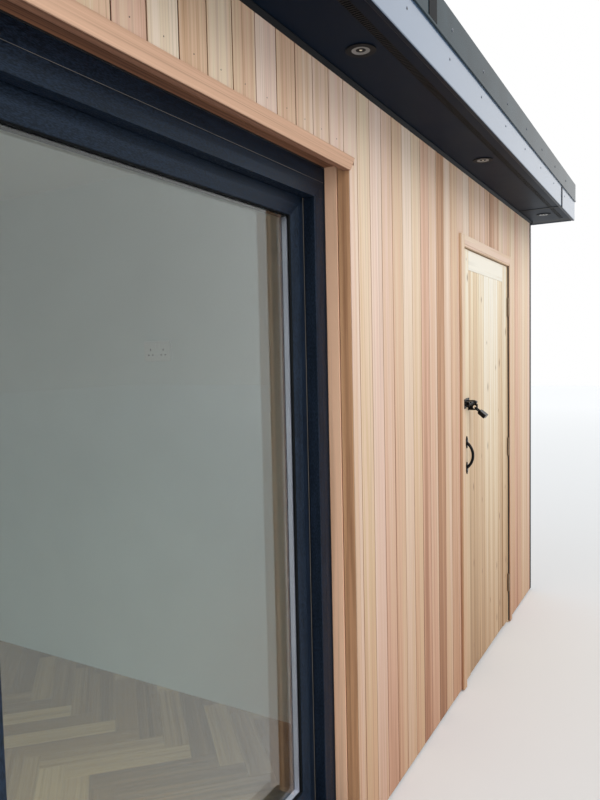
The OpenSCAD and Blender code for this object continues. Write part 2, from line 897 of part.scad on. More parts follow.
module frame_hinge_leaves() {
    color(iron) for (z = hinge_z) translate([0, 0, door_z + z]) {
        knuckle(-knuckle_h / 2, 0);
        translate([hinge_x, hinge_y, -hinge_h / 2]) cylinder(h = hinge_h, r = hinge_pin_r);
        span([jamb_in_r - hinge_leaf_t, hinge_y, -knuckle_h / 2],
            [jamb_in_r, leaf_y + hinge_leaf_d, knuckle_h / 2 - knuckle_gap]);
    }
}

module door_hinge_leaves() {
    color(iron) for (z = hinge_z) translate([0, 0, door_z + z])
        for (base = [-hinge_h / 2, knuckle_h / 2]) difference() {
            union() {
                knuckle(base, 0);
                span([leaf_r, hinge_y, base],
                    [leaf_r + hinge_leaf_t, leaf_y + hinge_leaf_d, base + knuckle_h - knuckle_gap]);
            }
            translate([hinge_x, hinge_y, base - cut])
                cylinder(h = knuckle_h + 2 * cut, r = hinge_pin_r + hinge_fit);
        }
}

// A bow handle with leaf shaped ends
module door_handle() {
    x = leaf_l + stile_w / 2;
    reach = handle_l / 2 - handle_end_l / 2;
    bow_r = (pow(reach, 2) + pow(handle_d, 2)) / (2 * handle_d);
    color(iron) {
        for (end = [-1, 1]) translate([x, leaf_y, handle_z + end * reach]) rotate([90, 0, 0])
            linear_extrude(handle_end_t) intersection() {
                translate([handle_end_l / 2, 0]) circle(r = handle_end_l / 2 + handle_end_w / 2);
                translate([-handle_end_l / 2, 0]) circle(r = handle_end_l / 2 + handle_end_w / 2);
            }
        intersection() {
            translate([x, leaf_y - handle_d + bow_r, handle_z]) rotate([0, 90, 0])
                rotate_extrude() translate([bow_r, 0]) circle(r = handle_r);
            span([x - handle_l, leaf_y - handle_d - handle_l, handle_z - handle_l],
                [x + handle_l, leaf_y, handle_z + handle_l]);
        }
    }
}

// Bolt

// One guide loop round the bolt, standing on a plate
module bolt_loop(x, base_y) {
    outer = bolt_r + bolt_fit + bolt_loop_wall;
    translate([x, 0, bolt_z]) difference() {
        union() {
            translate([0, bolt_y, 0]) rotate([0, 90, 0]) cylinder(h = bolt_loop_w, r = outer);
            span([0, bolt_y, -outer], [bolt_loop_w, base_y, outer]);
        }
        translate([-cut, bolt_y, 0]) rotate([0, 90, 0])
            cylinder(h = bolt_loop_w + 2 * cut, r = bolt_r + bolt_fit);
    }
}

// An ear that stands out from the bolt plate and carries the padlock
module lock_ear() {
    difference() {
        span([lock_ear_x, bolt_y - lock_ear_w / 2, lock_z - lock_ear_w / 2],
            [lock_ear_x + bolt_loop_wall, leaf_y, lock_z + lock_ear_w / 2]);
        translate([lock_ear_x - cut, bolt_y, lock_z]) rotate([0, 90, 0])
            cylinder(h = bolt_loop_wall + 2 * cut, r = lock_hole_r);
    }
}

module bolt_plate() {
    color(iron) {
        span([bolt_plate_x, leaf_y - bolt_plate_t, bolt_z - bolt_plate_h / 2],
            [bolt_plate_x + bolt_plate_l, leaf_y, bolt_z + bolt_plate_h / 2]);
        span([lock_ear_x - bolt_loop_w, leaf_y - bolt_plate_t, lock_z - lock_ear_w / 2],
            [lock_ear_x, leaf_y, bolt_z]);
        for (x = [bolt_plate_x, bolt_plate_x + bolt_plate_l - bolt_loop_w])
            bolt_loop(x, leaf_y - bolt_plate_t);
        lock_ear();
    }
}

module bolt_keep() {
    plate_y = face_y - door_trim_t;
    color(iron) {
        span([keep_x - bolt_loop_w / 2, plate_y - bolt_plate_t, bolt_z - bolt_plate_h / 2],
            [keep_x + bolt_loop_w, plate_y, bolt_z + bolt_plate_h / 2]);
        bolt_loop(keep_x, plate_y - bolt_plate_t);
    }
}

module sliding_bolt() {
    knob_x = bolt_plate_x + bolt_plate_l / 2 + bolt_travel / 2;
    color(iron) {
        translate([bolt_tip_x, bolt_y, bolt_z]) rotate([0, 90, 0]) cylinder(h = bolt_l, r = bolt_r);
        translate([knob_x, bolt_y, bolt_z]) rotate([90, 0, 0])
            cylinder(h = 3 * bolt_r, r = bolt_r * 0.7);
    }
}

// The padlock hangs in the ear and leans out from the door: the bend of its shackle
// lies on the edge of the hole
module padlock() {
    hang = lock_hole_r - lock_seat - shackle_r + shackle_bend;
    x = lock_ear_x + bolt_loop_wall / 2;
    color(iron) translate([x, bolt_y, lock_z]) rotate([-lock_lean, 0, 0])
        translate([0, 0, -hang]) {
            rotate([90, 0, 0]) rotate_extrude(angle = 180) translate([shackle_bend, 0])
                circle(r = shackle_r);
            for (side = [-1, 1]) translate([side * shackle_bend, 0, -shackle_leg])
                cylinder(h = shackle_leg, r = shackle_r);
            translate([0, lock_t / 2, -shackle_leg]) rotate([90, 0, 0])
                linear_extrude(lock_t) difference() {
                    translate([-lock_w / 2, -lock_h]) square([lock_w, lock_h]);
                    for (side = [-1, 1]) translate([side * lock_w / 2, 0]) rotate(45)
                        square(lock_corner, center = true);
                }
        }
}

// Roof

module roof_panel() {
    color(timber) along_x(-roof_x, roof_x, [
        [roof_y, wall_top], [back_y, wall_top], [back_y, roof_back_z], [roof_y, fascia_top]]);
}

// Height of the roof surface at a place along Y
function roof_z(y) = fascia_top - roof_fall * (y - roof_y) / (back_y - roof_y);

module roof_membrane() {
    inner_x = fascia_x - kerb_w;
    inner_y = fascia_y + kerb_w;
    drip_y = gutter_y + membrane_lap;
    color([0.18, 0.18, 0.19]) translate([0, 0, roof_seat]) along_x(-inner_x, inner_x, [
        [inner_y, roof_z(inner_y)],
        [drip_y, roof_z(drip_y)],
        [drip_y, roof_z(drip_y) + membrane_t],
        [inner_y, roof_z(inner_y) + membrane_t]]);
}

module front_kerb() {
    inner_y = fascia_y + kerb_w;
    color(timber) {
        along_x(-roof_x, roof_x, [
            [fascia_y, fascia_top],
            [roof_y, fascia_top],
            [roof_y, fascia_top + roof_seat],
            [inner_y, roof_z(inner_y) + roof_seat],
            [inner_y, kerb_top],
            [fascia_y, kerb_top]]);
        for (side = [0, 1]) mirror([side, 0, 0])
            span([roof_x - cut, fascia_y, fascia_top], [fascia_x, inner_y, kerb_top]);
    }
}

module side_kerb() {
    inner_y = fascia_y + kerb_w;
    along_x(fascia_x - kerb_w, roof_x, [
        [inner_y, roof_z(inner_y) + roof_seat],
        [back_y, roof_back_z + roof_seat],
        [back_y, kerb_top],
        [inner_y, kerb_top]]);
    span([roof_x, inner_y, fascia_top], [fascia_x, back_y, kerb_top]);
}

module side_kerbs() {
    color(timber) for (side = [0, 1]) mirror([side, 0, 0]) side_kerb();
}

// A ring round the front and sides of the roof, open at the back, between two offsets
// from the outer faces of the fascia
module roof_ring(outer, inner, z_low, z_high) {
    difference() {
        span([-fascia_x - outer, fascia_y - outer, z_low], [fascia_x + outer, back_y, z_high]);
        span([-fascia_x - inner, fascia_y - inner, z_low - cut],
            [fascia_x + inner, back_y + cut, z_high + cut]);
    }
}

module roof_edge_caps() {
    color([0.20, 0.25, 0.31]) {
        roof_ring(cap_t, -kerb_w - cap_t, kerb_top, kerb_top + cap_t);
        roof_ring(cap_t, 0, fascia_top - cap_lap, kerb_top);
        roof_ring(cap_out, 0, fascia_top - cap_lap, fascia_top - cap_lap + cap_drip_h);
        roof_ring(-kerb_w, -kerb_w - cap_t, kerb_top - cap_leg, kerb_top);
    }
}

module soffit() {
    color(anthracite) difference() {
        span([-half_w, roof_y, soffit_z], [half_w, face_y, wall_top]);
        for (x = light_x) translate([x, light_y, soffit_z - cut])
            cylinder(h = soffit_t + 2 * cut, r = light_hole_r);
        span([-half_w + vent_in, roof_y + vent_in, soffit_z - cut],
            [half_w - vent_in, roof_y + vent_in + vent_w, soffit_z + vent_d]);
    }
}

// Dark boards under the overhangs beside the walls
module side_soffits() {
    color(iron) for (side = [0, 1]) mirror([side, 0, 0])
        span([half_w, roof_y, soffit_z], [roof_x, back_y, wall_top]);
}

// A trim under the soffit round the front and the sides of the walls
module soffit_wall_trim() {
    low_z = soffit_z - soffit_trim;
    color(iron) {
        along_x(-half_w, half_w, [
            [face_y, soffit_z], [face_y - soffit_trim, soffit_z],
            [face_y - soffit_trim, soffit_z - soffit_trim_edge],
            [face_y - soffit_trim_edge, low_z], [face_y, low_z]]);
        for (side = [0, 1]) mirror([side, 0, 0])
            span([half_w, face_y - soffit_trim, low_z], [half_w + soffit_trim, back_y, soffit_z]);
    }
}

module front_fascia() {
    color(satin_grey) span([-fascia_x, fascia_y, fascia_z], [fascia_x, roof_y, fascia_top]);
}

module side_fascias() {
    color(satin_grey) for (side = [0, 1]) mirror([side, 0, 0])
        span([roof_x, roof_y, fascia_z], [fascia_x, back_y, fascia_top]);
}

module back_fascia() {
    color(satin_grey) span([-fascia_x, back_y, fascia_z], [fascia_x, gutter_y, roof_z(gutter_y)]);
}

module joint_strips() {
    x_low = strip_x - joint_strip_w / 2;
    x_high = strip_x + joint_strip_w / 2;
    color(iron) {
        span([x_low, roof_y, soffit_z - joint_strip_t], [x_high, face_y - soffit_trim, soffit_z]);
        span([x_low, fascia_y - joint_strip_t, fascia_z],
            [x_high, fascia_y, fascia_top - cap_lap]);
        span([lap_x - cap_strip_w / 2, fascia_y - cap_t - joint_strip_t,
                fascia_top - cap_lap + cap_drip_h],
            [lap_x + cap_strip_w / 2, fascia_y - cap_t, kerb_top + cap_t]);
    }
}

module downlights() {
    color([0.70, 0.70, 0.70]) for (x = light_x) translate([x, light_y, soffit_z]) {
        difference() {
            translate([0, 0, -light_t]) cylinder(h = light_t, r = light_r);
            translate([0, 0, -light_t - cut]) cylinder(h = light_t, r = light_lens_r);
        }
        cylinder(h = soffit_t, r = light_hole_r);
    }
}

// Rear gutter, open at the top, with its end plates, and a round downpipe

module rear_gutter() {
    bracket_x = fascia_x - bracket_end;
    color(iron) {
        difference() {
            span([-fascia_x, gutter_y, gutter_top - gutter_h],
                [fascia_x, gutter_y + gutter_w, gutter_top]);
            span([-fascia_x + gutter_t, gutter_y + gutter_t, gutter_top - gutter_h + gutter_t],
                [fascia_x - gutter_t, gutter_y + gutter_w - gutter_t, gutter_top + cut]);
        }
        for (i = [0:bracket_n - 1]) {
            x = -bracket_x + 2 * bracket_x * i / (bracket_n - 1);
            translate([x - bracket_w / 2, 0, 0]) {
                span([0, gutter_y, gutter_top - gutter_h - gutter_t],
                    [bracket_w, gutter_y + gutter_w, gutter_top - gutter_h]);
                span([0, gutter_y + gutter_w, gutter_top - gutter_h - gutter_t],
                    [bracket_w, gutter_y + gutter_w + gutter_t, gutter_top]);
            }
        }
    }
}

module downpipe() {
    pipe_top = gutter_top - gutter_h;
    color(iron) {
        translate([pipe_axis_x, pipe_axis_y, pipe_foot_z])
            cylinder(h = pipe_top - pipe_foot_z, r = pipe_r);
        for (z = [pipe_top / 4, pipe_top * 3 / 4]) {
            span([pipe_axis_x - pipe_r / 2, back_y, z],
                [pipe_axis_x + pipe_r / 2, pipe_axis_y, z + pipe_clip_h]);
            translate([pipe_axis_x, pipe_axis_y, z])
                cylinder(h = pipe_clip_h, r = pipe_r + gutter_t);
        }
    }
}

module wall_socket() {
    x = part_l - lining_t;
    y = face_y + socket_y;
    color([0.93, 0.93, 0.92])
        span([x - socket_t, y - socket_w / 2, socket_z - socket_h / 2],
            [x, y + socket_w / 2, socket_z + socket_h / 2]);
}

floor_base();
office_floor();
front_wall_left();
front_wall_middle();
front_wall_right();
patio_header();
side_door_header();
back_wall();
left_wall();
right_wall();
partition_wall();
wall_linings();
ceiling();
cladding_front();
cladding_back();
cladding_left();
cladding_right();
corner_trims();
reveal_lining();
patio_head_trim();
patio_cill();
patio_frame_head();
patio_frame_jambs();
patio_frame_sill();
fixed_sash();
fixed_glass();
side_door_jambs();
side_door_head();
side_door_trim();
frame_hinge_leaves();
bolt_keep();
wall_socket();
roof_panel();
roof_membrane();
front_kerb();
side_kerbs();
roof_edge_caps();
soffit();
side_soffits();
soffit_wall_trim();
front_fascia();
side_fascias();
back_fascia();
joint_strips();
downlights();
rear_gutter();
downpipe();
sliding_sash();
sliding_glass();
sash_rollers();
sash_pull();
door_stiles();
door_boards();
door_ledges();
door_hinge_leaves();
door_handle();
bolt_plate();
padlock();
sliding_bolt();
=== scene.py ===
import math
import random

import bmesh
import bpy
from mathutils import Matrix, Vector


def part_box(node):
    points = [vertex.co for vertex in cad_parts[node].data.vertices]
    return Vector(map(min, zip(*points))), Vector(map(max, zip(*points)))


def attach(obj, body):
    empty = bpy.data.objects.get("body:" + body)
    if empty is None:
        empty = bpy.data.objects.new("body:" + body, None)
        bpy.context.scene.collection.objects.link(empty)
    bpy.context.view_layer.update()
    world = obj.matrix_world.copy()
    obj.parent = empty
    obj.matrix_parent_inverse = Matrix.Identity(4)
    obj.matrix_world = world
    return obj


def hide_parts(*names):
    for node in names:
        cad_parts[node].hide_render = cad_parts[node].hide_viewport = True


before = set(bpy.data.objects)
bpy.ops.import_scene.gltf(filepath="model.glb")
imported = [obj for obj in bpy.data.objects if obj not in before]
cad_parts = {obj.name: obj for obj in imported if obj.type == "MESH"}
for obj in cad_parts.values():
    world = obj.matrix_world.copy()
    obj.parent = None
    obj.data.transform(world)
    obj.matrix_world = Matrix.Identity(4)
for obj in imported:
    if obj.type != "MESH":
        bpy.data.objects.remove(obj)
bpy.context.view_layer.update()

random.seed(11)

X = Vector((1, 0, 0))
Y = Vector((0, 1, 0))
Z = Vector((0, 0, 1))
MM = 0.001

# Camera, fitted to the photograph: its place from the reveal corner and the cladding face
EYE_FROM_REVEAL = (-1.870, -0.884, 1.530)
TURN_DEG = -60.23
TILT_DEG = 86.352
ROLL_DEG = -1.235
FOCAL_LENGTH_MM = 30.825
SENSOR_MM = 36
CLIP_START = 50 * MM

# Studio
FLOOR_SIZE = 60.0
FLOOR_FADE = (4.0, 18.0)    # distances over which the floor pales towards its far edge
FLOOR_GREYS = [(0.0, (0.80, 0.80, 0.80)), (1.0, (0.96, 0.96, 0.96))]
WORLD_COLOUR = (0.94, 0.975, 1.0, 1)
WORLD_LIGHT = 0.72
SUN_LIGHT = 1.5
SUN_SPREAD_DEG = 50
SUN_TILT_DEG = 48
SUN_TURN_DEG = -18

# Cladding boards
PITCH = 92 * MM
FIRST_JOINT = 55 * MM       # from the reveal to the first joint at its right
JOINT_GAP = 3.6 * MM
JOINT_CHAMFER = 0.8 * MM
TONGUE = 7 * MM
TONGUE_SHARES = (0.45, 0.75)    # of the depth of a board, from its face
GROOVE_SLACK = 0.4 * MM
# Painted shade: boards darken behind their face, so joints and hidden sides read as shaded
SHADE_FADE = 260                  # fall of the tone of a board in each metre behind its face
ARRIS = 1.2 * MM
NAIL_ABOVE = 28 * MM
NAIL_STRAY = 3 * MM

# Patio reveal, and the pale lines round the frame that paint highlights on its edges
REVEAL_T = 31 * MM
REVEAL_HEAD_T = 22 * MM
REVEAL_OUTER = 41 * MM
REVEAL_GROOVE = 3 * MM
REVEAL_EDGE = 3 * MM
FRAME_SEAL = 3 * MM
LIP_LINE = 0.9 * MM
LIP_PROUD = 0.6 * MM
LIP_Z = 2050 * MM
SASH_BITE = 5 * MM          # hidden behind the frame at each edge of the sliding sash
SASH_LINE_D = 2 * MM

# Store door
DOOR_TRIM_W = 42 * MM
# Painted shade on the sides of the door trims, which darken behind their face
TRIM_SHADE_FADE = 35
DOOR_SEAL_W = 3 * MM
DOOR_SEAL_D = 7 * MM
HEAD_BEAD_D = 11 * MM
HEAD_BEAD_UP = 14 * MM      # from the lower edge of the door head
STILE_W = 97 * MM
TOP_RAIL_H = 90 * MM
DOOR_BOARDS = 7
LEAF_ARRIS = 1.5 * MM
LEAF_JOINT_GAP = 1.2 * MM
LEAF_JOINT_CHAMFER = 2.5 * MM

# Ironmongery
HANDLE_END_T = 5 * MM
HANDLE_SCREW_IN = 12 * MM
BOLT_Z = 1303 * MM
BOLT_PLATE_X = 4 * MM       # from the edge of the leaf
BOLT_PLATE_L = 86 * MM
BOLT_PLATE_T = 3 * MM
PLATE_SCREW_IN = 7 * MM
PLATE_SCREW_Z = 16 * MM

# Roof
FIXING_PITCH = 357 * MM
FIXING_START = -160 * MM    # of one fascia pin, from the reveal
FIXING_EDGE = 40 * MM
FASCIA_PIN_Z = 2408 * MM
CAP_PIN_Z = 2497 * MM
CAP_PIN_SHIFT = 15 * MM
KERB_END_T = 2 * MM
CAP_T = 4 * MM
CAP_LEG = 45 * MM
VENT_IN = 30 * MM
VENT_W = 24 * MM
VENT_D = 3 * MM
VENT_PITCH = 10 * MM
VENT_BAR = 5.5 * MM
VENT_EDGE = 1 * MM
LIGHT_R = 41 * MM
LIGHT_PITCH = 1225 * MM
MEMBRANE_T = 4 * MM
SHEET_T = 3 * MM
SEAM_W = 60 * MM
SEAM_T = 1 * MM
SEAM_PITCH = 1400 * MM

# Glass
PANE_T = 4 * MM
SPACER_W = 12 * MM
SPACER_IN = 13 * MM
GLASS_BITE = 12 * MM
GASKET_W = 4.5 * MM
FIXED_GASKET_D = 1.5 * MM
SLIDING_GASKET_D = 10 * MM
GASKET_LIP = 0.5            # share of its depth that stands square to the glass

# Office floor
BLOCK_W = 90 * MM
BLOCK_L = 5 * BLOCK_W
BLOCK_GAP = 0.6 * MM

# Wall socket, with sizes as (across, up) and places from the middle of the plate or a half
SOCKET_PITCH = 70 * MM
SWITCH = (10 * MM, 16 * MM)
SWITCH_UP = 24 * MM
SWITCH_PROUD = 2 * MM
EARTH_SLOT = (4.5 * MM, 9 * MM)
EARTH_UP = 6 * MM
LINE_SLOT = (7.5 * MM, 4.5 * MM)
LINE_ACROSS = 11 * MM
LINE_DOWN = 16 * MM
SLOT_PROUD = 0.2 * MM
SLOT_SUNK = 1 * MM
SOCKET_SCREW_ACROSS = 60 * MM

# Heads of nails, pins and screws, as (radius, height), and their outlines in shares of these
NAIL = (1.6 * MM, 0.5 * MM)
FASCIA_PIN = (4.5 * MM, 1.8 * MM)
CAP_PIN = (6.5 * MM, 2.6 * MM)
HANDLE_SCREW = (3.8 * MM, 1.8 * MM)
PLATE_SCREW = (3.2 * MM, 1.6 * MM)
SOCKET_SCREW = (3.5 * MM, 1 * MM)
SCREW_OUTLINE = [(0, 0.5), (0.3, 0.5), (0.42, 1), (0.8, 0.8), (1, 0.3), (1, 0), (0, 0)]
SCREW_SIDES = 14
PIN_OUTLINE = [(0, 1), (0.5, 0.87), (0.85, 0.5), (1, 0), (0, 0)]
PIN_SIDES = 12

# Downlights, as (radius, height) points from the axis
LENS_R = 24.5 * MM
LENS = [(0, 0.6 * MM), (LENS_R * 0.4, 0.7 * MM), (LENS_R * 0.75, 1.4 * MM),
        (LENS_R, 2.4 * MM), (LENS_R, 0), (0, 0)]
LENS_SIDES = 32
CHIP = [(0, 1.6 * MM), (3.5 * MM, 1.3 * MM), (5 * MM, 0.6 * MM), (0, 0.6 * MM)]
CHIP_SIDES = 16

# Edges of the meshes
SMOOTH_DEG = 35             # angle below which a smooth piece shows no edge
EASE_DEG = 40               # angle above which an edge is eased
EASE_STEPS = 2
WELD = 0.01 * MM

# Tones of the wood, as places along its colour stops
BROWN_SHARE = 0.05
BROWN_TONES = (0.38, 0.48)
PALE_TONES = (0.52, 0.94)
REVEAL_OUTER_TONE = 0.55
REVEAL_INNER_TONE = 1.05
REVEAL_EDGE_TONE = 0.8
# Painted shade: the strips across the reveal head and the fillet under the head board are toned
# dark
REVEAL_HEAD_SHADE_TONE = 0.15
HEAD_BOARD_TONE = 0.7
HEAD_FILLET_SHADE_TONE = 0.2
SIDE_TRIM_TONE = 0.72
HEAD_TRIM_TONE = 0.76
STILE_TONES = (0.85, 0.95)
TOP_RAIL_TONE = 1.1
LEAF_BOARD_TONES = (0.72, 1.0)
BLOCK_TONES = (0.2, 0.9)
PLAIN_TONE = 0.5
NODE_TONE = 0.55            # of CAD nodes, which carry no tone

# Grain: noise cells in each metre, across, deep and along the board
STRIPES = (32, 32, 0.4)
RINGS = (170, 40, 1.1)
RING_EDGE = (0.34, 0.48)    # of the noise, from the line of a ring to the wood beside it
FIBRES = (900, 500, 9)
HUE_CELLS = (0.6, 0.6, 0.1)
KNOT_CELLS = (11, 5, 1)
KNOT_CORE = 0.02
KNOT_RADII = (0.05, 0.16)
FALL_TOP = 1.9              # height above which wood keeps its full tone
FOIL_CLOUDS = (60, 60, 5)
FOIL_STREAKS = (480, 480, 120)

# Colours, most of them as stops along a tone
# The lowest cedar stops are also the colour that the painted shade in the joints reaches
CEDAR = [(0.0, (0.12, 0.055, 0.03)), (0.04, (0.34, 0.17, 0.10)), (0.25, (0.47, 0.26, 0.15)),
         (0.42, (0.63, 0.40, 0.26)), (0.55, (0.75, 0.51, 0.365)), (0.66, (0.74, 0.555, 0.37)),
         (0.78, (0.80, 0.60, 0.48)), (0.9, (0.80, 0.645, 0.48)), (1.0, (0.86, 0.70, 0.575))]
RED_CEDAR = [(0.0, (0.11, 0.045, 0.03)), (0.3, (0.40, 0.18, 0.09)), (0.55, (0.69, 0.38, 0.20)),
             (0.8, (0.88, 0.51, 0.31)), (1.0, (1.0, 0.62, 0.41))]
HEAD_CEDAR = [(0.0, (0.11, 0.045, 0.03)), (0.3, (0.36, 0.175, 0.105)), (0.55, (0.58, 0.34, 0.22)),
              (0.8, (0.74, 0.46, 0.31)), (1.0, (0.92, 0.585, 0.39))]
PINE = [(0.0, (0.38, 0.22, 0.11)), (0.3, (0.53, 0.36, 0.20)), (0.55, (0.695, 0.50, 0.31)),
        (0.8, (0.83, 0.685, 0.475)), (1.0, (0.89, 0.83, 0.71))]
OAK = [(0.0, (0.10, 0.05, 0.02)), (0.5, (0.29, 0.165, 0.075)), (1.0, (0.52, 0.335, 0.17))]
SAWN = [(0.0, (0.36, 0.25, 0.14)), (1.0, (0.60, 0.47, 0.31))]
HUES = [(0.36, (1.0, 1.0, 0.95)), (0.5, (1.0, 0.985, 0.985)), (0.64, (1.0, 0.955, 1.0))]
FALL_TINT = [(0.0, (0.66, 0.57, 0.51)), (1.0, (1.0, 1.0, 1.0))]
KNOT = (0.26, 0.14, 0.07, 1)
GLASS_TINT = (0.93, 0.97, 0.96, 1)
FRAME_DARK = (0.0022, 0.0045, 0.010)
# Light stop of the foil's grain: partly its print, partly painted highlight
FRAME_GRAIN_AND_GLINT = (0.016, 0.027, 0.050)
# Soffit black, also used as the painted shade on the fascia's undersides
SOFFIT_BLACK = (0.0018, 0.0072, 0.0180)


# Node trees

# The sockets of a Mix node for each data type: inputs A and B, and the result
MIX_SOCKETS = {"VECTOR": (4, 5, 1), "RGBA": (6, 7, 2)}


def node(tree, kind, inputs=None, **settings):
    """Adds a shader node. An input is a value, or the output of another node."""
    made = tree.nodes.new("ShaderNode" + kind)
    for key, value in settings.items():
        setattr(made, key, value)
    for key, value in (inputs or {}).items():
        if isinstance(value, bpy.types.NodeSocket):
            tree.links.new(value, made.inputs[key])
        else:
            made.inputs[key].default_value = value
    return made


def math_node(tree, operation, a, b=0.0):
    return node(tree, "Math", {0: a, 1: b}, operation=operation).outputs[0]


def mix(tree, factor, a, b, kind="RGBA", **settings):
    at_a, at_b, result = MIX_SOCKETS[kind]
    made = node(tree, "Mix", {"Factor": factor, at_a: a, at_b: b}, data_type=kind, **settings)
    return made.outputs[result]


def multiplied(tree, colour, factor):
    return mix(tree, 1.0, colour, factor, blend_type="MULTIPLY")


def ramp(tree, fac, stops):
    """A colour ramp through (place, colour) stops."""
    made = node(tree, "ValToRGB", {"Fac": fac})
    elements = made.color_ramp.elements
    while len(elements) < len(stops):
        elements.new(0.5)
    for element, (place, colour) in zip(elements, stops):
        element.position = place
        element.color = (*colour, 1)
    return made.outputs["Color"]


def map_range(tree, value, from_low, from_high, to_low, to_high):
    return node(tree, "MapRange", {"Value": value, "From Min": from_low, "From Max": from_high,
                                   "To Min": to_low, "To Max": to_high}).outputs[0]


def object_place(tree):
    return node(tree, "TexCoord").outputs["Object"]


def separated(tree, vector):
    return node(tree, "SeparateXYZ", {0: vector}).outputs


def scaled(tree, vector, scale):
    return node(tree, "Mapping", {"Vector": vector, "Scale": scale}).outputs[0]


def noise(tree, vector, scale, detail=2.0, rough=0.5, warp=0.0):
    made = node(tree, "TexNoise", {"Vector": scaled(tree, vector, scale), "Scale": 1.0,
                                   "Detail": detail, "Roughness": rough, "Distortion": warp})
    return made.outputs[0]


def varied(tree, value, source, share):
    """Adds a noise, centred on zero, to a value."""
    part = math_node(tree, "MULTIPLY", math_node(tree, "SUBTRACT", source, 0.5), share * 2)
    return math_node(tree, "ADD", value, part)


def surface(name, **values):
    """A material with one Principled shader. Returns the material, its tree and the shader."""
    material = bpy.data.materials.new(name)
    material.use_nodes = True
    shader = material.node_tree.nodes["Principled BSDF"]
    for key, value in values.items():
        shader.inputs[key.replace("_", " ").title().replace("Ior", "IOR")].default_value = value
    return material, material.node_tree, shader


def feed(tree, shader, socket, value):
    tree.links.new(value, shader.inputs[socket])


def bump(tree, shader, height, strength, distance):
    made = node(tree, "Bump", {"Height": height, "Strength": strength, "Distance": distance})
    feed(tree, shader, "Normal", made.outputs[0])


# Places for the grain. Planks carry their own, as (across, depth, along) in metres, and a
# CAD node takes it from its own coordinates

def plank_grain(tree):
    place = node(tree, "Attribute", attribute_name="grain").outputs["Vector"]
    tone = node(tree, "Attribute", attribute_name="tone").outputs["Fac"]
    return place, tone


def turned_grain(tree, along):
    """Object coordinates, turned so that the third one runs along an axis, 'X' or 'Z'."""
    place = object_place(tree)
    if along == "Z":
        return place
    parts = separated(tree, place)
    return node(tree, "CombineXYZ", {0: parts[2], 1: parts[1], 2: parts[0]}).outputs[0]


def mitred_grain(tree, low, high):
    """Grain that runs along each member of a mitred frame between two corners."""
    parts = separated(tree, object_place(tree))
    near = []
    for axis in (0, 2):
        from_low = math_node(tree, "SUBTRACT", parts[axis], low[axis])
        from_high = math_node(tree, "SUBTRACT", high[axis], parts[axis])
        near.append(math_node(tree, "MINIMUM", from_low, from_high))
    upright = math_node(tree, "LESS_THAN", near[0], near[1])
    return mix(tree, upright, turned_grain(tree, "X"), turned_grain(tree, "Z"), "VECTOR")


# Materials

def knotted(tree, colour, place, share):
    """Dark oval knots, in a share of cells about 90 mm wide and 200 mm long."""
    parts = separated(tree, place)
    flat = node(tree, "CombineXYZ", {0: parts[0], 1: parts[2]}).outputs[0]
    cells = node(tree, "TexVoronoi", {"Vector": scaled(tree, flat, KNOT_CELLS), "Scale": 1.0},
                 voronoi_dimensions="2D")
    chance = node(tree, "SeparateColor", {0: cells.outputs["Color"]}).outputs[0]
    present = math_node(tree, "LESS_THAN", chance, share)
    radius = map_range(tree, chance, 0.0, share, *KNOT_RADII)
    core = map_range(tree, cells.outputs["Distance"], KNOT_CORE, radius, 1.0, 0.0)
    return mix(tree, math_node(tree, "MULTIPLY", core, present), colour, KNOT)


def timber(name, stops, knots=0.0, gloss=0.62, along=None, stripe=0.5, figure=0.2, fall=0.0,
           hues=False, lines=0.86):
    """Wood whose colour moves along its stops by board, stripe and fibre, and with height. Its
    growth rings show as darker lines, and with hues whole boards lean to straw or to pink."""
    material, tree, shader = surface(name, roughness=gloss, specular_ior_level=0.3)
    place, tone = (turned_grain(tree, along), NODE_TONE) if along else plank_grain(tree)
    stripes = noise(tree, place, STRIPES, detail=3.0, warp=0.35)
    rings = noise(tree, place, RINGS, warp=0.6)
    fibre = noise(tree, place, FIBRES)
    value = varied(tree, tone, stripes, stripe)
    value = varied(tree, value, rings, figure)
    value = varied(tree, value, fibre, figure * 0.5)
    if fall:
        height = separated(tree, object_place(tree))[2]
        value = math_node(tree, "ADD", value, map_range(tree, height, 0.0, FALL_TOP, -fall, 0.0))
    colour = ramp(tree, value, stops)
    if fall:
        risen = map_range(tree, height, 0.0, FALL_TOP, 0.0, 1.0)
        colour = multiplied(tree, colour, ramp(tree, risen, FALL_TINT))
    colour = multiplied(tree, colour, map_range(tree, rings, *RING_EDGE, lines, 1.0))
    if hues:
        hue = noise(tree, place, HUE_CELLS, detail=1)
        colour = multiplied(tree, colour, ramp(tree, hue, HUES))
    if knots:
        colour = knotted(tree, colour, place, knots)
    feed(tree, shader, "Base Color", colour)
    bump(tree, shader, fibre, 0.25, 0.3 * MM)
    return material


def foil(name, grain):
    """Woodgrain foil of the patio frames: dark, satin, with a fine embossed grain. Its lighter,
    bluer streaks are partly the printed grain and partly painted highlight on the embossing.
    """
    material, tree, shader = surface(name, specular_ior_level=0.25,
                                     specular_tint=(0.65, 0.83, 1.0, 1))
    place = grain(tree)
    clouds = noise(tree, place, FOIL_CLOUDS, detail=3, warp=0.4)
    streaks = noise(tree, place, FOIL_STREAKS, rough=0.6)
    value = varied(tree, streaks, clouds, 0.15)
    feed(tree, shader, "Base Color",
         ramp(tree, value, [(0.4, FRAME_DARK), (0.68, FRAME_GRAIN_AND_GLINT)]))
    feed(tree, shader, "Roughness", map_range(tree, streaks, 0.35, 0.65, 0.28, 0.62))
    bump(tree, shader, streaks, 1.0, 0.5 * MM)
    return material


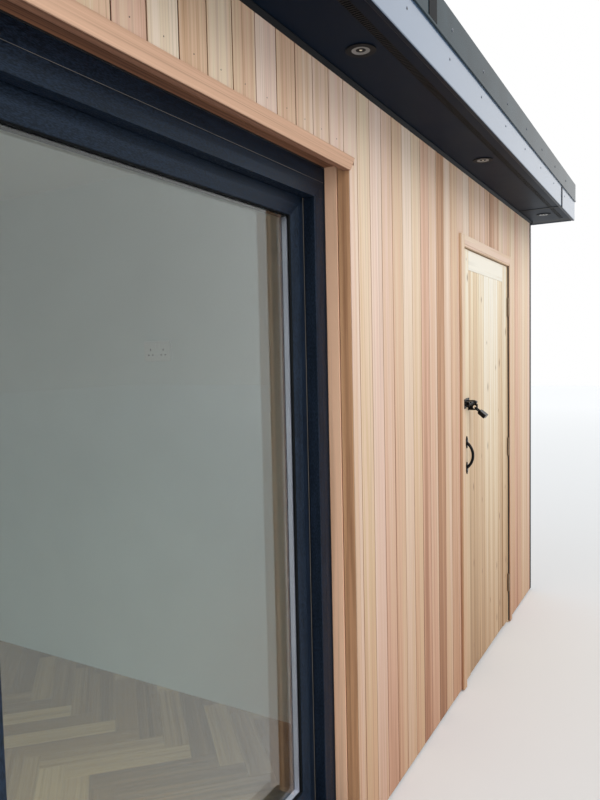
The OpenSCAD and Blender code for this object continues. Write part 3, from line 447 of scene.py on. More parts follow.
def coating(name, dark, light, gloss, spots=4.5, grit=900.0, relief=0.12, shaded_under=None, **values):
    """Paint, plastic or metal: nearly one colour, with slight clouding and a fine surface.
    An underside colour and specular level, when given, go to the faces that look down, which also
    lose their coat: painted shade on undersides."""
    material, tree, shader = surface(name, **values)
    place = object_place(tree)
    cloud = noise(tree, place, (spots, spots, spots), detail=4)
    colour = ramp(tree, cloud, [(0.3, dark), (0.7, light)])
    if shaded_under:
        shade_colour, shade_level = shaded_under
        up = separated(tree, node(tree, "NewGeometry").outputs["Normal"])[2]
        for socket, low in (("Specular IOR Level", shade_level), ("Coat Weight", 0.0)):
            level = shader.inputs[socket].default_value
            if level > 0:
                feed(tree, shader, socket, map_range(tree, up, -0.8, -0.1, low, level))
        # faces that look down take the underside colour: painted shade
        shaded = map_range(tree, up, -0.8, -0.1, 1.0, 0.0)
        colour = mix(tree, shaded, colour, (*shade_colour, 1))
    feed(tree, shader, "Base Color", colour)
    feed(tree, shader, "Roughness", map_range(tree, cloud, 0.0, 1.0, gloss * 0.85, gloss * 1.2))
    if relief:
        fine = noise(tree, place, (grit, grit, grit))
        bump(tree, shader, fine, relief, 0.2 * MM)
    return material


def glass(name):
    """Clear glass that lets lamps through without a shadow."""
    material, tree, shader = surface(name, roughness=0.0, transmission_weight=1.0, ior=1.5,
                                     base_color=GLASS_TINT)
    clear = node(tree, "BsdfTransparent", {"Color": GLASS_TINT})
    shadow = node(tree, "LightPath").outputs["Is Shadow Ray"]
    mixed = node(tree, "MixShader", {0: shadow, 1: shader.outputs[0], 2: clear.outputs[0]})
    tree.links.new(mixed.outputs[0], tree.nodes["Material Output"].inputs["Surface"])
    return material


# Mesh building

def bar(width, depth, arris=ARRIS):
    """A rectangle of width by depth with its corners taken off, as (across, depth) points."""
    return [(arris, 0), (width - arris, 0), (width, arris), (width, depth - arris),
            (width - arris, depth), (arris, depth), (0, depth - arris), (0, arris)]


def joint_board(width, depth, gap=JOINT_GAP, chamfer=JOINT_CHAMFER):
    """A tongued and grooved board with an open joint: chamfers at the face, tongue, groove."""
    low, high = gap / 2, width - gap / 2
    tongue_low, tongue_high = (depth * share for share in TONGUE_SHARES)
    groove_low, groove_high = tongue_low - GROOVE_SLACK, tongue_high + GROOVE_SLACK
    return [(low + chamfer, 0), (high - chamfer, 0), (high, chamfer), (high, tongue_low),
            (high + TONGUE, tongue_low), (high + TONGUE, tongue_high), (high, tongue_high),
            (high, depth), (low, depth), (low, groove_high), (low + TONGUE, groove_high),
            (low + TONGUE, groove_low), (low, groove_low), (low, chamfer)]


def clipped(points, axis, limit, side):
    """The part of a polygon that lies above (side 1) or below (side -1) a limit on an axis."""
    kept = []
    for here, there in zip(points, points[1:] + points[:1]):
        here_in = side * (here[axis] - limit) >= 0
        there_in = side * (there[axis] - limit) >= 0
        if here_in:
            kept.append(here)
        if here_in != there_in:
            share = (limit - here[axis]) / (there[axis] - here[axis])
            kept.append(tuple(a + (b - a) * share for a, b in zip(here, there)))
    return kept


def any_shift():
    """A random place in the wood, so that no two boards look alike."""
    return Vector([random.uniform(0, 40) for _ in range(3)])


class Build:
    """Collects prisms and turned forms into one mesh, with a grain place and tone at each point."""

    def __init__(self):
        self.points, self.faces, self.grain, self.tones = [], [], [], []

    def add(self, point, grain, tone):
        self.points.append(point)
        self.grain.append(grain)
        self.tones.append(tone)

    def close(self, base, count):
        """Faces between two rings of count points, and over both ends."""
        self.faces.append([base + i for i in range(count)])
        self.faces.append([base + count + i for i in range(count)])
        for i in range(count):
            j = (i + 1) % count
            self.faces.append([base + i, base + j, base + count + j, base + count + i])

    def prism(self, profile, start, across, depth, along, length, tone=PLAIN_TONE, shift=None,
              shade_fade=0.0, fibre_x=False):
        """Extrudes (across, depth) points from start. The tone fades with the depth, which paints
        shade into the joints and onto the sides of boards, and the fibre runs along the prism, or
        else along X."""
        shift = shift or any_shift()
        base = len(self.points)
        for step in (0, length):
            for u, v in profile:
                point = start + across * u + depth * v + along * step
                place = point.zyx if fibre_x else Vector((u, v, step))
                # painted shade: the tone falls with the depth behind the face
                self.add(point, place + shift, tone - shade_fade * v)
        self.close(base, len(profile))

    def box(self, low, high, arris=0.0, along=Z, tone=PLAIN_TONE, shade_fade=0.0):
        """A box between two corners, with its long edges eased, and grain along one axis."""
        low, high = Vector(low), Vector(high)
        across = X if along != X else Y
        depth = Y if along == Z else Z
        size = high - low
        wide, deep = size.dot(across), size.dot(depth)
        profile = bar(wide, deep, arris) if arris else [(0, 0), (wide, 0), (wide, deep), (0, deep)]
        self.prism(profile, low, across, depth, along, size.dot(along), tone, shade_fade=shade_fade)

    def mitred(self, low, high, profile):
        """Four mitred bars round a rectangle in X and Z, from (margin, y) points."""
        corners = [(low.x, low.z, -1, -1), (high.x, low.z, 1, -1), (high.x, high.z, 1, 1),
                   (low.x, high.z, -1, 1)]
        for i in range(4):
            shift = any_shift()
            base = len(self.points)
            for x, z, side, up in (corners[i], corners[(i + 1) % 4]):
                for margin, y in profile:
                    point = Vector((x + side * margin, y, z + up * margin))
                    run = point.z if i % 2 else point.x
                    self.add(point, Vector((margin, y, run)) + shift, PLAIN_TONE)
            self.close(base, len(profile))

    def turned(self, profile, centre, axis, sides):
        """Turns a profile of (radius, height) points about an axis. Its ends lie on the axis."""
        axis = Vector(axis).normalized()
        across = axis.orthogonal().normalized()
        round_ = axis.cross(across)
        rings = []
        for radius, height in profile:
            ring = []
            for i in range(sides if radius > 0 else 1):
                angle = 2 * math.pi * i / sides
                spoke = across * math.cos(angle) + round_ * math.sin(angle)
                ring.append(len(self.points))
                self.add(Vector(centre) + spoke * radius + axis * height,
                         Vector((radius, height, 0)), PLAIN_TONE)
            rings.append(ring)
        for ring, above in zip(rings, rings[1:]):
            for i in range(sides):
                corners = [ring[i % len(ring)], ring[(i + 1) % len(ring)],
                           above[(i + 1) % len(above)], above[i % len(above)]]
                self.faces.append(list(dict.fromkeys(corners)))

    def screw(self, size, place, axis):
        """A pan head with a recess."""
        profile = [(size[0] * u, size[1] * v) for u, v in SCREW_OUTLINE]
        self.turned(profile, place, axis, SCREW_SIDES)

    def pin(self, size, place, axis):
        """A plain domed head."""
        profile = [(size[0] * u, size[1] * v) for u, v in PIN_OUTLINE]
        self.turned(profile, place, axis, PIN_SIDES)

    def piece(self, name, material, body, slot, replaces=(), smooth=False):
        mesh = bpy.data.meshes.new(name)
        mesh.from_pydata(self.points, [], self.faces)
        tool = bmesh.new()
        tool.from_mesh(mesh)
        bmesh.ops.recalc_face_normals(tool, faces=tool.faces)
        tool.to_mesh(mesh)
        tool.free()
        grain = mesh.attributes.new("grain", "FLOAT_VECTOR", "POINT")
        grain.data.foreach_set("vector", [c for point in self.grain for c in point])
        mesh.attributes.new("tone", "FLOAT", "POINT").data.foreach_set("value", self.tones)
        mesh.materials.append(material)
        if smooth:
            mesh.shade_smooth()
            mesh.set_sharp_from_angle(angle=math.radians(SMOOTH_DEG))
        made = bpy.data.objects.new(name, mesh)
        bpy.context.scene.collection.objects.link(made)
        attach(made, body)
        if replaces:
            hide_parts(*replaces)
        return made


def eased(made, width):
    """Eases the edges of an object with a bevel."""
    bevel = made.modifiers.new("edges", "BEVEL")
    bevel.width = width
    bevel.segments = EASE_STEPS
    bevel.limit_method = "ANGLE"
    bevel.angle_limit = math.radians(EASE_DEG)
    bevel.use_clamp_overlap = True


# Cladding

front_low, front_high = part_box("cladding_front")
reveal_low, reveal_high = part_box("reveal_lining")
jamb_low, jamb_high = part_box("side_door_jambs")
head_low, head_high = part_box("side_door_head")
floor_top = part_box("floor_base")[1].z
face_y = front_low.y
reveal_l = reveal_low.x + REVEAL_T
reveal_r = reveal_high.x - REVEAL_T
reveal_top = reveal_high.z - REVEAL_HEAD_T
clad_t = front_high.y - face_y

cedar = timber("cedar", CEDAR, stripe=0.42, figure=0.24, fall=0.2, hues=True, lines=0.87)
cedar_reveal = timber("cedar_reveal", RED_CEDAR, knots=0.04, stripe=0.4)
cedar_head = timber("cedar_head", HEAD_CEDAR, knots=0.04, stripe=0.4)
pine = timber("pine", PINE, knots=0.27, gloss=0.45, stripe=0.38, figure=0.3, fall=0.45)


def board_tone():
    """Most boards are straw or pink, and a few are brown."""
    if random.random() < BROWN_SHARE:
        return random.uniform(*BROWN_TONES)
    return random.uniform(*PALE_TONES)


def clad(build, start, across, outward, length, low_z, high_z, first, openings):
    """Boards over a wall from start along across. Openings are (low, high, base, top)."""
    profile = joint_board(PITCH, clad_t)
    for i in range(int(length / PITCH) + 3):
        at = first % PITCH - PITCH + i * PITCH
        tone = board_tone()
        shift = any_shift()
        low, high = max(at, 0), min(at + PITCH, length)
        if high - low < JOINT_GAP + JOINT_CHAMFER:
            continue
        edges = sorted({low, high} | {e for o in openings for e in o[:2] if low < e < high})
        for left, right in zip(edges, edges[1:]):
            part = profile
            if left > at or right < at + PITCH:
                part = clipped(clipped(profile, 0, left - at, 1), 0, right - at, -1)
            spans = [(low_z, high_z)]
            for opening_low, opening_high, base, top in openings:
                if opening_low < (left + right) / 2 < opening_high:
                    spans = [(low_z, base), (top, high_z)]
            for z0, z1 in spans:
                if z1 - z0 > MM:
                    # each board's tone falls behind its face: painted shade in the joints
                    build.prism(part, start + across * at + Z * z0, across, -outward, Z,
                                z1 - z0, tone, shift + Z * z0, SHADE_FADE)


def clad_wall(name, node_name, corner, across, outward, length, first, openings=()):
    build = Build()
    low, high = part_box(node_name)
    clad(build, Vector((corner.x, corner.y, 0)), across, outward, length, low.z, high.z, first,
         openings)
    build.piece(name, cedar, "pod", "cedar", [node_name])


patio_opening = (reveal_low.x - front_low.x, reveal_high.x - front_low.x, floor_top,
                 reveal_high.z)
door_opening = (jamb_low.x - front_low.x, jamb_high.x - front_low.x, front_low.z, head_high.z)
first_joint = (reveal_r + FIRST_JOINT - front_low.x) % PITCH
clad_wall("front_boards", "cladding_front", front_low, X, -Y, front_high.x - front_low.x,
          first_joint, [patio_opening, door_opening])
low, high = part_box("cladding_left")
clad_wall("left_boards", "cladding_left", Vector((low.x, high.y, 0)), -Y, -X, high.y - low.y,
          PITCH / 2)
low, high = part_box("cladding_right")
clad_wall("right_boards", "cladding_right", Vector((high.x, low.y, 0)), Y, X, high.y - low.y,
          PITCH / 2)
low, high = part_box("cladding_back")
clad_wall("back_boards", "cladding_back", Vector((high.x, high.y, 0)), -X, Y, high.x - low.x,
          PITCH / 3)


# Patio reveal: an outer and an inner strip on both sides and across the head

build, edges = Build(), Build()
outer_y = face_y + REVEAL_EDGE
inner_y = face_y + REVEAL_OUTER + REVEAL_GROOVE
strips = [(outer_y, REVEAL_OUTER - REVEAL_EDGE, REVEAL_OUTER_TONE),
          (inner_y, reveal_high.y - inner_y, REVEAL_INNER_TONE)]
for x in (reveal_low.x, reveal_r):
    for y, depth, tone in strips:
        build.box((x, y, reveal_low.z), (x + REVEAL_T, y + depth, reveal_top), ARRIS, Z, tone)
    edges.box((x, face_y, reveal_low.z), (x + REVEAL_T, outer_y, reveal_top), ARRIS, Z,
              REVEAL_EDGE_TONE)
# Across the head both strips take a dark tone: painted shade on their undersides
for y, depth, tone in strips:
    build.box((reveal_low.x, y, reveal_top), (reveal_high.x, y + depth, reveal_high.z),
              ARRIS, X, REVEAL_HEAD_SHADE_TONE)
build.piece("reveal_boards", cedar_reveal, "pod", "cedar_reveal", ["reveal_lining"])
edges.piece("reveal_edges", cedar, "pod", "cedar", ["reveal_lining"])

head_trim_low, head_trim_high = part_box("patio_head_trim")
build = Build()
build.prism([(reveal_l, head_trim_low.z), (reveal_r, head_trim_low.z),
             (head_trim_high.x, head_trim_high.z), (head_trim_low.x, head_trim_high.z)],
            Y * head_trim_low.y, X, Z, Y, face_y - head_trim_low.y, HEAD_BOARD_TONE,
            fibre_x=True)
# the fillet under the head board takes a dark tone: painted shade
build.box((reveal_l, face_y, head_trim_low.z), (reveal_r, head_trim_high.y, reveal_top),
          ARRIS, X, HEAD_FILLET_SHADE_TONE)
eased(build.piece("patio_head_board", cedar_head, "pod", "cedar_reveal", ["patio_head_trim"]),
      ARRIS)

# Small nail heads above the head trim, one in each board
build = Build()
joint = reveal_low.x + (reveal_r + FIRST_JOINT - reveal_low.x) % PITCH
while joint < reveal_high.x:
    z = head_trim_high.z + NAIL_ABOVE + random.uniform(-NAIL_STRAY, NAIL_STRAY)
    build.screw(NAIL, (joint - PITCH / 2, face_y, z), -Y)
    joint += PITCH
nail_steel = coating("nail_steel", (0.10, 0.08, 0.07), (0.16, 0.13, 0.11), 0.5, metallic=0.6)
build.piece("board_nails", nail_steel, "pod", "black_trim")

# A bead of sealant between the patio frame and the reveal
frame_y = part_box("patio_frame_head")[0].y
seal_rubber = coating("seal_rubber", (0.012, 0.013, 0.015), (0.02, 0.02, 0.022), 0.5)
build = Build()
for x in (reveal_l, reveal_r - FRAME_SEAL):
    build.box((x, frame_y - FRAME_SEAL, reveal_low.z), (x + FRAME_SEAL, frame_y, reveal_top))
build.box((reveal_l + FRAME_SEAL, frame_y - FRAME_SEAL, reveal_top - FRAME_SEAL),
          (reveal_r - FRAME_SEAL, frame_y, reveal_top), along=X)
build.piece("frame_seal", seal_rubber, "pod", "black_trim")

# Pale lines that paint highlights on lit edges: over the joint below the extension piece of
# the head, and beside the sliding sash
painted_edge_highlight = coating("painted_edge_highlight", (0.13, 0.12, 0.11), (0.19, 0.17, 0.15), 0.4)
sash_low, sash_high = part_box("sliding_sash")
jamb_face = sash_high.x - SASH_BITE
build = Build()
build.box((reveal_l + FRAME_SEAL, frame_y - LIP_PROUD, LIP_Z - LIP_LINE),
          (reveal_r - FRAME_SEAL, frame_y, LIP_Z), along=X)
build.box((jamb_face - LIP_LINE, sash_low.y - MM - SASH_LINE_D, sash_low.z + SASH_BITE),
          (jamb_face, sash_low.y - MM, sash_high.z - SASH_BITE))
build.piece("frame_highlight_lines", painted_edge_highlight, "pod", "black_trim")


# Store door: trims, leaf and boards

leaf_low, leaf_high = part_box("door_stiles")
low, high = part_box("side_door_trim")
build = Build()
inner_l, inner_r, inner_z = low.x + DOOR_TRIM_W, high.x - DOOR_TRIM_W, high.z - DOOR_TRIM_W
# the side trims darken behind their face: painted shade on their sides
for x in (low.x, inner_r):
    build.box((x, low.y, low.z), (x + DOOR_TRIM_W, high.y, high.z), ARRIS, Z, SIDE_TRIM_TONE,
              TRIM_SHADE_FADE)
build.box((inner_l, low.y, inner_z), (inner_r, high.y, high.z), ARRIS, X, HEAD_TRIM_TONE)
build.piece("door_trim_boards", cedar, "pod", "cedar", ["side_door_trim"])

# Behind the trim, black seals at both sides of the leaf, whose black also paints the shade of
# the gap there, and a cedar bead above it
build = Build()
for x in (inner_l, inner_r - DOOR_SEAL_W):
    build.box((x, face_y - DOOR_SEAL_D, leaf_low.z), (x + DOOR_SEAL_W, face_y, inner_z))
build.piece("door_seals_and_gap_shade", seal_rubber, "pod", "black_trim")
build = Build()
build.box((inner_l + DOOR_SEAL_W, face_y - HEAD_BEAD_D, head_low.z + HEAD_BEAD_UP),
          (inner_r - DOOR_SEAL_W, face_y, inner_z), ARRIS, X, HEAD_TRIM_TONE)
build.piece("door_head_bead", cedar, "pod", "cedar")

build = Build()
for x in (leaf_low.x, leaf_high.x - STILE_W):
    build.box((x, leaf_low.y, leaf_low.z), (x + STILE_W, leaf_high.y, leaf_high.z), LEAF_ARRIS,
              Z, random.uniform(*STILE_TONES))
build.box((leaf_low.x + STILE_W, leaf_low.y, leaf_high.z - TOP_RAIL_H),
          (leaf_high.x - STILE_W, leaf_high.y, leaf_high.z), LEAF_ARRIS, X, TOP_RAIL_TONE)
build.piece("leaf_frame", pine, "store_door", "pine", ["door_stiles"])

low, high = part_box("door_boards")
build = Build()
board_w = (high.x - low.x) / DOOR_BOARDS
for i in range(DOOR_BOARDS):
    profile = joint_board(board_w, high.y - low.y, LEAF_JOINT_GAP, LEAF_JOINT_CHAMFER)
    profile = clipped(profile, 0, high.x - low.x - i * board_w, -1)
    # their tone falls behind the face at half the rate: painted shade in the joints
    build.prism(profile, Vector((low.x + i * board_w, low.y, low.z)), X, Y, Z,
                high.z - low.z, random.uniform(*LEAF_BOARD_TONES), shade_fade=SHADE_FADE / 2)
build.piece("leaf_boards", pine, "store_door", "pine", ["door_boards"])


# Office floor: oak blocks in a herringbone, clipped at the lining

def lay_block(build, outline, turn, along, top, thickness):
    """One block of the floor, with the grain along its length."""
    base = len(build.points)
    build.prism(outline, Z * (top - thickness), X, Y, Z, thickness,
                random.uniform(*BLOCK_TONES))
    unturn = turn.transposed()
    shift = any_shift()
    for i in range(base, len(build.points)):
        point = unturn @ build.points[i].xy
        run, side = (point.x, point.y) if along == X else (point.y, point.x)
        build.grain[i] = Vector((side, build.points[i].z, run)) + shift


def herringbone(build, low, high):
    """Blocks at 45 degrees to the walls, over the box between two corners."""
    turn = Matrix.Rotation(math.radians(45), 2)
    centre = Vector(((low.x + high.x) / 2, (low.y + high.y) / 2))
    reach = (high - low).length
    steps = int(reach / BLOCK_W) + 2
    repeats = int(reach / BLOCK_L) + 2
    gap = BLOCK_GAP / 2
    for a in range(-steps, steps):
        for m in range(-repeats, repeats):
            u, v = a * BLOCK_W + 2 * m * BLOCK_L, a * BLOCK_W
            blocks = [(u, v, BLOCK_L, BLOCK_W, X),
                      (u + BLOCK_L, v + BLOCK_W - BLOCK_L, BLOCK_W, BLOCK_L, Y)]
            for u0, v0, size_u, size_v, along in blocks:
                corners = [(u0 + gap, v0 + gap), (u0 + size_u - gap, v0 + gap),
                           (u0 + size_u - gap, v0 + size_v - gap), (u0 + gap, v0 + size_v - gap)]
                outline = [tuple(turn @ Vector(c) + centre) for c in corners]
                for axis in (0, 1):
                    outline = clipped(outline, axis, low[axis], 1)
                    outline = clipped(outline, axis, high[axis], -1)
                if len(outline) > 2:
                    lay_block(build, outline, turn, along, high.z, high.z - low.z)


low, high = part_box("office_floor")
oak = timber("oak", OAK, gloss=0.35, stripe=0.3, figure=0.25)
build = Build()
herringbone(build, low, high)
build.piece("oak_blocks", oak, "pod", "oak_floor", ["office_floor"])


# Glazing: two panes, a metal spacer between them and a gasket round the sight line

clear_glass = glass("clear_glass")
# The spacer's faces that look down are darkened: painted shade
spacer_metal = coating("spacer_metal", (0.58, 0.56, 0.66), (0.66, 0.64, 0.74), 0.38,
                       shaded_under=((0.02, 0.02, 0.018), 0.1), metallic=0.3)
gasket_rubber = coating("gasket_rubber", (0.004, 0.005, 0.006), (0.007, 0.008, 0.009), 0.55,
                        specular_ior_level=0.08)


def glaze(prefix, node_name, body, gasket_d):
    low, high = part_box(node_name)
    build = Build()
    for y in (low.y, high.y - PANE_T):
        build.box((low.x, y, low.z), (high.x, y + PANE_T, high.z))
    build.piece(prefix + "_panes", clear_glass, body, "glazing", [node_name])
    build = Build()
    edge = Vector((1, 0, 1)) * SPACER_IN
    y0, y1 = low.y + PANE_T, high.y - PANE_T
    build.mitred(low + edge, high - edge, [(0, y0), (SPACER_W, y0), (SPACER_W, y1), (0, y1)])
    build.piece(prefix + "_spacer", spacer_metal, body, "light_metal")
    build = Build()
    edge = Vector((1, 0, 1)) * GLASS_BITE
    build.mitred(low + edge, high - edge,
                 [(0, low.y), (0, low.y - gasket_d * GASKET_LIP), (GASKET_W, low.y - gasket_d),
                  (GASKET_W, low.y)])
    build.piece(prefix + "_gasket", gasket_rubber, body, "black_trim")


glaze("fixed", "fixed_glass", "pod", FIXED_GASKET_D)
glaze("sliding", "sliding_glass", "patio_sash", SLIDING_GASKET_D)


# Roof: fixings, vent slots, downlight lenses, and the laps and upstands of the membrane

cap_low, cap_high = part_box("roof_edge_caps")
fascia_low, fascia_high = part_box("front_fascia")
side_low, side_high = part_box("side_fascias")
soffit_low, soffit_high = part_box("soffit")
membrane_low, membrane_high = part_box("roof_membrane")

black_satin = coating("black_satin", (0.006, 0.007, 0.009), (0.010, 0.011, 0.013), 0.45,
                      specular_ior_level=0.06)
fixing_steel = coating("fixing_steel", (0.10, 0.11, 0.13), (0.14, 0.15, 0.17), 0.35,
                       metallic=0.7)
cap_gloss = coating("cap_gloss", (0.014, 0.027, 0.034), (0.030, 0.052, 0.064), 0.08, spots=6,
                    relief=0.02, specular_ior_level=0.06)
membrane = coating("membrane", (0.020, 0.020, 0.021), (0.045, 0.044, 0.042), 0.7, relief=0.5)


def pin_row(build, size, start, along, outward, low, high, first):
    """Pins at the fixing pitch along a face that runs from low to high, one of them at first."""
    steps = range(math.ceil((low + FIXING_EDGE - first) / FIXING_PITCH),
                  math.floor((high - FIXING_EDGE - first) / FIXING_PITCH) + 1)
    for i in steps:
        build.pin(size, start + along * (first + i * FIXING_PITCH), outward)


build = Build()
first = reveal_r + FIXING_START
for size, z, shift, out in ((FASCIA_PIN, FASCIA_PIN_Z, 0.0, 0.0),
                            (CAP_PIN, CAP_PIN_Z, CAP_PIN_SHIFT, CAP_T)):
    pin_row(build, size, Vector((0, fascia_low.y - out, z)), X, -Y, fascia_low.x, fascia_high.x,
            first + shift)
    for side, x in ((-1, side_low.x - out), (1, side_high.x + out)):
        pin_row(build, size, Vector((x, 0, z)), Y, X * side, side_low.y, side_high.y,
                side_low.y + FIXING_EDGE)
build.piece("roof_fixings", fixing_steel, "pod", "cap_plastic", smooth=True)

build = Build()
vent_y = fascia_high.y + VENT_IN
vent_l, vent_r = soffit_low.x + VENT_IN, soffit_high.x - VENT_IN
vent_z = soffit_low.z + VENT_D
x = vent_l
while x < vent_r:
    build.box((x, vent_y, soffit_low.z), (min(x + VENT_BAR, vent_r), vent_y + VENT_W, vent_z),
              along=Y)
    x += VENT_PITCH
for y in (vent_y, vent_y + VENT_W - VENT_EDGE):
    build.box((vent_l, y, soffit_low.z), (vent_r, y + VENT_EDGE, vent_z), along=X)
build.piece("vent_strip", black_satin, "pod", "soffit_plastic")

lamp_low, lamp_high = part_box("downlights")
lamp_y = (lamp_low.y + lamp_high.y) / 2
lens_grey = coating("lens_grey", (0.14, 0.145, 0.15), (0.20, 0.205, 0.21), 0.3)
chip_yellow = coating("chip_yellow", (0.85, 0.80, 0.62), (0.90, 0.86, 0.70), 0.3)
lenses, chips = Build(), Build()
for x in (lamp_low.x + LIGHT_R, -LIGHT_PITCH, 0, LIGHT_PITCH, lamp_high.x - LIGHT_R):
    place = Vector((x, lamp_y, soffit_low.z))
    lenses.turned(LENS, place, -Z, LENS_SIDES)
    chips.turned(CHIP, place, -Z, CHIP_SIDES)
lenses.piece("light_lenses", lens_grey, "pod", "socket_plastic", smooth=True)
chips.piece("light_chips", chip_yellow, "pod", "socket_plastic", smooth=True)

# The membrane turns up inside the kerbs, and its sheets lap
kerb_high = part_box("side_kerbs")[1]
top_front, top_back = membrane_high.z, membrane_low.z + MEMBRANE_T
run = membrane_high.y - membrane_low.y
kerb_run = kerb_high.y - membrane_low.y
leg_z = cap_high.z - CAP_T - CAP_LEG
slope = (top_back - top_front) / run
seam_front = top_front + slope * SHEET_T
build = Build()
for x in (membrane_low.x, membrane_high.x - SHEET_T):
    build.prism([(0, top_front), (kerb_run, top_front + slope * kerb_run), (kerb_run, leg_z),
                 (0, leg_z)], Vector((x, membrane_low.y, 0)), Y, Z, X, SHEET_T)
build.box((membrane_low.x + SHEET_T, membrane_low.y, seam_front),
          (membrane_high.x - SHEET_T, membrane_low.y + SHEET_T, leg_z), along=X)
x = membrane_low.x + SEAM_PITCH
while x < membrane_high.x - SEAM_PITCH / 2:
    build.prism([(SHEET_T, seam_front), (run, top_back), (run, top_back + SEAM_T),
                 (SHEET_T, seam_front + SEAM_T)],
                Vector((x, membrane_low.y, 0)), Y, Z, X, SEAM_W)
    x += SEAM_PITCH
build.piece("membrane_laps", membrane, "pod", "membrane")

# An end plate closes each side kerb at the back
kerb_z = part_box("back_fascia")[1].z
cap_in = membrane_high.x - CAP_T
outline = [(membrane_high.x, kerb_z), (kerb_high.x, kerb_z), (kerb_high.x, cap_low.z),
           (cap_high.x, cap_low.z), (cap_high.x, cap_high.z), (cap_in, cap_high.z),
           (cap_in, leg_z), (membrane_high.x, leg_z)]
build = Build()
for side in (-1, 1):
    build.prism(outline, Y * kerb_high.y, X * side, Z, Y, KERB_END_T)
build.piece("kerb_ends", cap_gloss, "pod", "cap_plastic")


# Screws of the ironmongery

handle_low, handle_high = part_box("door_handle")
keep_low, keep_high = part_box("bolt_keep")
screw_black = coating("screw_black", (0.010, 0.010, 0.011), (0.02, 0.02, 0.021), 0.3,
                      metallic=0.4)
handle_x = (handle_low.x + handle_high.x) / 2
keep_x = (keep_low.x + keep_high.x) / 2
plate_x = leaf_low.x + BOLT_PLATE_X
plate_rows = (BOLT_Z - PLATE_SCREW_Z, BOLT_Z + PLATE_SCREW_Z)
build = Build()
for z in (handle_low.z + HANDLE_SCREW_IN, handle_high.z - HANDLE_SCREW_IN):
    build.screw(HANDLE_SCREW, (handle_x, leaf_low.y - HANDLE_END_T, z), -Y)
for x in (plate_x + PLATE_SCREW_IN, plate_x + BOLT_PLATE_L - PLATE_SCREW_IN):
    for z in plate_rows:
        build.screw(PLATE_SCREW, (x, leaf_low.y - BOLT_PLATE_T, z), -Y)
build.piece("leaf_screws", screw_black, "store_door", "ironmongery", smooth=True)
build = Build()
for z in plate_rows:
    build.screw(PLATE_SCREW, (keep_x, keep_high.y - BOLT_PLATE_T, z), -Y)
build.piece("keep_screws", screw_black, "pod", "ironmongery", smooth=True)


# Wall socket: two switches, two sets of pin slots and two screws on the plate

plate_low, plate_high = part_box("wall_socket")
plate_y = (plate_low.y + plate_high.y) / 2
plate_z = (plate_low.z + plate_high.z) / 2
white_plastic = coating("white_plastic", (0.78, 0.78, 0.76), (0.80, 0.80, 0.78), 0.25)
slot_dark = coating("slot_dark", (0.02, 0.02, 0.02), (0.03, 0.03, 0.03), 0.6)


def on_plate(build, y, z, size, proud):
    """A small block on the face of the socket plate, which looks along -X."""
    build.box((plate_low.x - proud, y - size[0] / 2, z - size[1] / 2),
              (plate_low.x + SLOT_SUNK, y + size[0] / 2, z + size[1] / 2))


switches, slots = Build(), Build()
for side in (-1, 1):
    y = plate_y + side * SOCKET_PITCH / 2
    on_plate(switches, plate_y + side * SWITCH[0], plate_z + SWITCH_UP, SWITCH, SWITCH_PROUD)
    on_plate(slots, y, plate_z + EARTH_UP, EARTH_SLOT, SLOT_PROUD)
    for pin in (-1, 1):
        on_plate(slots, y + pin * LINE_ACROSS, plate_z - LINE_DOWN, LINE_SLOT, SLOT_PROUD)
    switches.pin(SOCKET_SCREW, (plate_low.x, plate_y + side * SOCKET_SCREW_ACROSS, plate_z), -X)
switches.piece("socket_switches", white_plastic, "pod", "socket_plastic")
slots.piece("socket_slots", slot_dark, "pod", "black_trim")


# CAD nodes that keep their shape

foil_x = foil("foil_x", lambda tree: turned_grain(tree, "X"))
foil_z = foil("foil_z", lambda tree: turned_grain(tree, "Z"))
foil_fixed = foil("foil_fixed_sash", lambda tree: mitred_grain(tree, *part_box("fixed_sash")))
foil_sliding = foil("foil_sliding_sash",
                    lambda tree: mitred_grain(tree, *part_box("sliding_sash")))
# Fascia: slate blue base paints sky reflection over dark anthracite; undersides painted shade
fascia_painted_sheen = coating("fascia_painted_sheen", (0.065, 0.125, 0.225), (0.085, 0.15, 0.26), 0.3,
                       relief=0.0, shaded_under=(SOFFIT_BLACK, 0.04), specular_ior_level=0.9,
                       specular_tint=(0.80, 0.91, 1.0, 1), coat_weight=1.0, coat_ior=1.9,
                       coat_roughness=0.15)
soffit_satin = coating("soffit_satin", SOFFIT_BLACK, (0.0030, 0.0095, 0.0220), 0.4,
                       relief=0.04, specular_ior_level=0.03)
powder_coat = coating("powder_coat", (0.004, 0.004, 0.0045), (0.007, 0.007, 0.0075), 0.22,
                      relief=0.2, specular_ior_level=0.14)
hinge_bronze = coating("hinge_bronze", (0.20, 0.15, 0.10), (0.27, 0.20, 0.14), 0.4, metallic=0.6)
light_steel = coating("light_steel", (0.45, 0.45, 0.46), (0.55, 0.55, 0.56), 0.3, metallic=1.0)
wall_paint = coating("wall_paint", (0.66, 0.72, 0.71), (0.70, 0.76, 0.75), 0.6, grit=300,
                     relief=0.05)
ceiling_paint = coating("ceiling_paint", (0.74, 0.74, 0.73), (0.77, 0.77, 0.76), 0.7)
sawn_z = timber("sawn_z", SAWN, along="Z")
sawn_x = timber("sawn_x", SAWN, along="X")
pine_x = timber("pine_x", PINE, knots=0.13, gloss=0.5, along="X")
pine_z = timber("pine_z", PINE, knots=0.13, gloss=0.5, along="Z")

